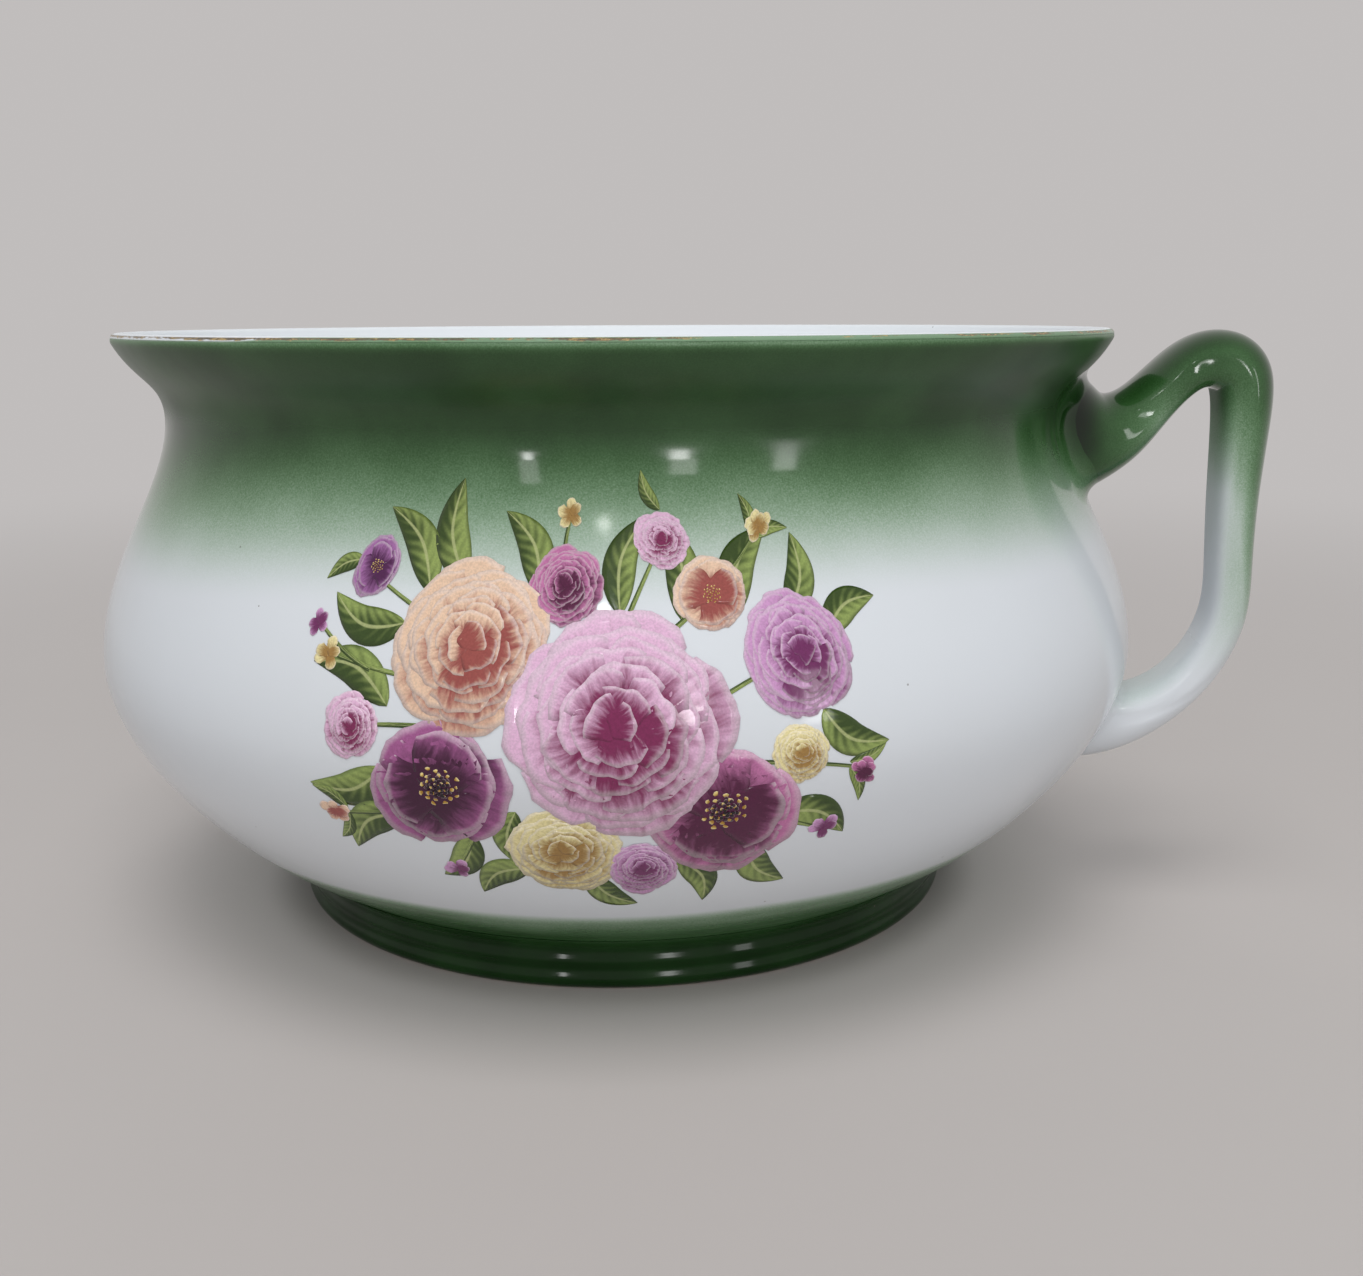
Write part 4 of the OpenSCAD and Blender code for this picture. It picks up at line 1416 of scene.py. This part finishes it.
# kind, right, up and radius in mm, turn in degrees, foreshortening, heart off centre, colours,
# lift in mm
BLOOMS = {
    "main": ("full", 5, 2, 21, 0, 0.97, 0.05, PINK, 0.24),
    "upper_left": ("full", -21, 15, 16, 25, 0.92, 0.10, APRICOT, 0.17),
    "right": ("open", 24, -14, 15, -30, 0.90, 0.08, PLUM, 0.18),
    "right_eye": ("eye", 24, -13.2, 3.6, 0, 0.90, 0.0, EYE, 0.27),
    "right_stamens": ("stamens", 24, -13.2, 5.6, 0, 0.90, 0.0, POLLEN, 0.23),
    "left": ("open", -27, -9, 14, 50, 0.90, 0.08, DEEP_PLUM, 0.16),
    "left_eye": ("eye", -26.6, -8.6, 3.4, 0, 0.90, 0.0, EYE, 0.25),
    "left_stamens": ("stamens", -26.6, -8.6, 5.2, 0, 0.90, 0.0, POLLEN, 0.21),
    "low": ("full", -5, -22, 12, 10, 0.86, 0.10, YELLOW, 0.13),
    "far_right": ("full", 38, 13, 12, -55, 0.88, 0.14, MAUVE, 0.14),
    "small_left": ("open", -42, 28, 6, 60, 0.80, 0.10, VIOLET, 0.13),
    "small_left_stamens": ("stamens", -42, 28, 1.7, 0, 0.90, 0.0, POLLEN, 0.19),
    "small_top": ("full", 14, 33, 6, -10, 0.80, 0.10, PINK, 0.13),
    "filler_top": ("full", -4, 25.5, 7.5, 30, 0.90, 0.10, PLUM, 0.12),
    "filler_right": ("open", 23, 24, 7.5, 15, 0.86, 0.05, APRICOT, 0.12),
    "filler_right_stamens": ("stamens", 23, 24, 2.2, 0, 0.90, 0.0, POLLEN, 0.18),
    "filler_low": ("full", 9.5, -26, 7.5, -20, 0.88, 0.10, MAUVE, 0.12),
    "filler_left": ("full", -43, 1, 6.5, 70, 0.88, 0.12, PINK, 0.12),
    "filler_side": ("full", 37.5, -3.5, 6.0, -40, 0.86, 0.12, YELLOW, 0.12),
    "bud_right": ("bud", 50, -8, 4.2, -35, 0.75, 0.0, PLUM, 0.13),
    "bud_left": ("bud", -49, -16, 4.2, 190, 0.75, 0.0, APRICOT, 0.13),
    "bud_top": ("bud", 33.5, 35, 4.2, 50, 0.75, 0.0, YELLOW, 0.13),
    "star_one": ("star", -49, 13, 3.2, 20, 0.95, 0.0, YELLOW, 0.13),
    "star_two": ("star", -52.5, 18, 2.8, 50, 0.90, 0.0, MAUVE, 0.13),
    "star_three": ("star", 44, -19, 3.2, 0, 0.90, 0.0, MAUVE, 0.13),
    "star_four": ("star", -3.5, 37.5, 3.0, 35, 0.95, 0.0, YELLOW, 0.13),
    "star_five": ("star", -27, -27, 3.0, 10, 0.90, 0.0, MAUVE, 0.13),
}
print(len(BLOOMS), "blooms of", len(KINDS), "kinds")

# %% Blooms of the spray
print_pieces = []
for seed, (name, values) in enumerate(BLOOMS.items(), start=1):
    kind, right, rise, radius, turned, foreshorten, heart, (deep, pale), lift = values
    maker = put_in_scene(name, bpy.data.meshes.new(name))
    use_tree(maker, bloom, {
        **dict(zip(KIND_INPUTS, KINDS[kind])), "Radius": radius * MM, "Turn": math.radians(turned),
        "Place": mm(right, rise, 0), "Foreshorten": foreshorten, "Heart off centre": heart,
        "Seed": seed, "Deep colour": deep, "Pale colour": pale, "Finish": petal_finish})
    print_pieces.append(lay_film(maker, "print_bloom_" + name, lift * MM))

# %% Leaves and stems of the spray
# right, up, length in mm, heading and bend in degrees, half width in mm
LEAVES = [
    (-30, 24, 19, 128, 25, 3.4), (-23, 26, 19, 98, -28, 3.5), (-34, 19, 18, 165, -30, 3.3),
    (-36, 5, 19, 158, 30, 3.6), (-37, -6, 18, 196, -28, 3.5), (-34, -15, 18, 214, 28, 3.5),
    (-22, -18, 15, 232, -25, 3.1), (-12, -26, 15, 212, 28, 3.1), (-1, -27, 14, 318, 25, 3.0),
    (16, -24, 15, 300, -30, 3.1), (29, -20, 17, 312, 28, 3.3), (34, -15, 17, 338, -28, 3.4),
    (42, 4, 16, 332, 30, 3.2), (44, 16, 14, 28, -28, 3.0), (37, 20, 15, 78, 28, 3.0),
    (27, 20, 18, 62, -28, 3.5), (17, 20, 18, 102, 25, 3.3), (6, 21, 18, 72, -25, 3.2),
    (-9, 24, 17, 118, 28, 3.3), (-13, -13, 12, 260, 20, 2.8), (-45, 29, 9, 205, 20, 1.6),
    (14, 38, 8, 118, -20, 1.4), (47, -6, 8, 20, 20, 1.3), (47, -7, 8, 292, -20, 1.3),
    (-46, -15, 8, 150, 20, 1.3), (-46, -16, 8, 235, -20, 1.3), (32, 33, 8, 105, 20, 1.3),
    (32, 33, 8, 10, -20, 1.3),
]
# points of each stem, right and up in mm
STEMS = [
    [(-20, 16), (-32, 21), (-41, 26)], [(6, 18), (10, 26), (13, 31)],
    [(18, 4), (28, 10), (37, 13)], [(-22, -12), (-36, -15), (-47, -16)],
    [(18, -4), (34, -4), (48, -7)], [(12, 16), (24, 24), (32, 33)],
    [(-30, 10), (-40, 11), (-48, 13)], [(-40, 11), (-46, 13), (-52, 18)],
    [(30, -14), (37, -17), (43, -19)], [(-4, 24), (-5.5, 30), (-3.5, 37)],
    [(-20, -16), (-23, -22), (-27, -27)], [(-30, 2), (-38, 2), (-43, 1)],
]
print(len(LEAVES), "leaves and", len(STEMS), "stems")

# %% Lay the leaves and stems
LEAF_LIFT, STEM_LIFT = mm(0.07, 0.10)
STEM_HALF = 0.5
LEAF_KNOTS = 4


def ribbons(name, lines, leaf, lift):
    """Ribbons of film along flat lines of points, every next one a little higher."""
    curve = bpy.data.curves.new(name, "CURVE")
    curve.dimensions = "3D"
    for order, line in enumerate(lines):
        strip = curve.splines.new("NURBS")
        strip.points.add(len(line) - 1)
        strip.use_endpoint_u = True
        strip.order_u = 3
        for point, (x, y, half_width) in zip(strip.points, line):
            point.co = (x * MM, y * MM, order * LAYER / 4, 1)
            point.radius = half_width * MM
    maker = put_in_scene(name, curve)
    use_tree(maker, ribbon, {"Leaf shape": leaf, "Steps": RIBBON_STEPS, "Finish": leaf_finish})
    return lay_film(maker, name, lift)


leaf_lines = []
for right, rise, leaf_length, toward, bend, half_width in LEAVES:
    line, at = [], np.array([right, rise], float)
    for step in range(LEAF_KNOTS):
        line.append((*at, half_width))
        at = at + leaf_length / (LEAF_KNOTS - 1) * heading(math.radians(toward + bend * (step - 1)))
    leaf_lines.append(line)
stem_lines = [[(*p, STEM_HALF) for p in stem] for stem in STEMS]
print_pieces.append(ribbons("print_leaves", leaf_lines, 1.0, LEAF_LIFT))
print_pieces.append(ribbons("print_stems", stem_lines, 0.0, STEM_LIFT))

# %% [markdown]
# ## The pieces and the body
# Every piece stands for one solid of the imported model, which it hides, and moves with the only
# body, because nothing on a pot moves by itself.

# %% Tie the pieces to the imported model
for piece, solid, slot in (
        (bowl, "bowl", "shaded_glaze"),
        (foot_ring, "foot_ring", "foot_glaze"),
        (foot_slip, "foot_slip", "slip"),
        (rim_gilding, "rim_gilding", "gilt"),
        (handle, "handle", "handle_glaze"),
        (top_slip, "handle_top_slip", "top_slip_glaze"),
        (bottom_slip, "handle_bottom_slip", "bottom_slip_glaze"),
        *((piece, "flower_transfer", "flower_print") for piece in print_pieces)):
    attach(piece, "root")
    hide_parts(solid)

# %% Finish
print("scene built")
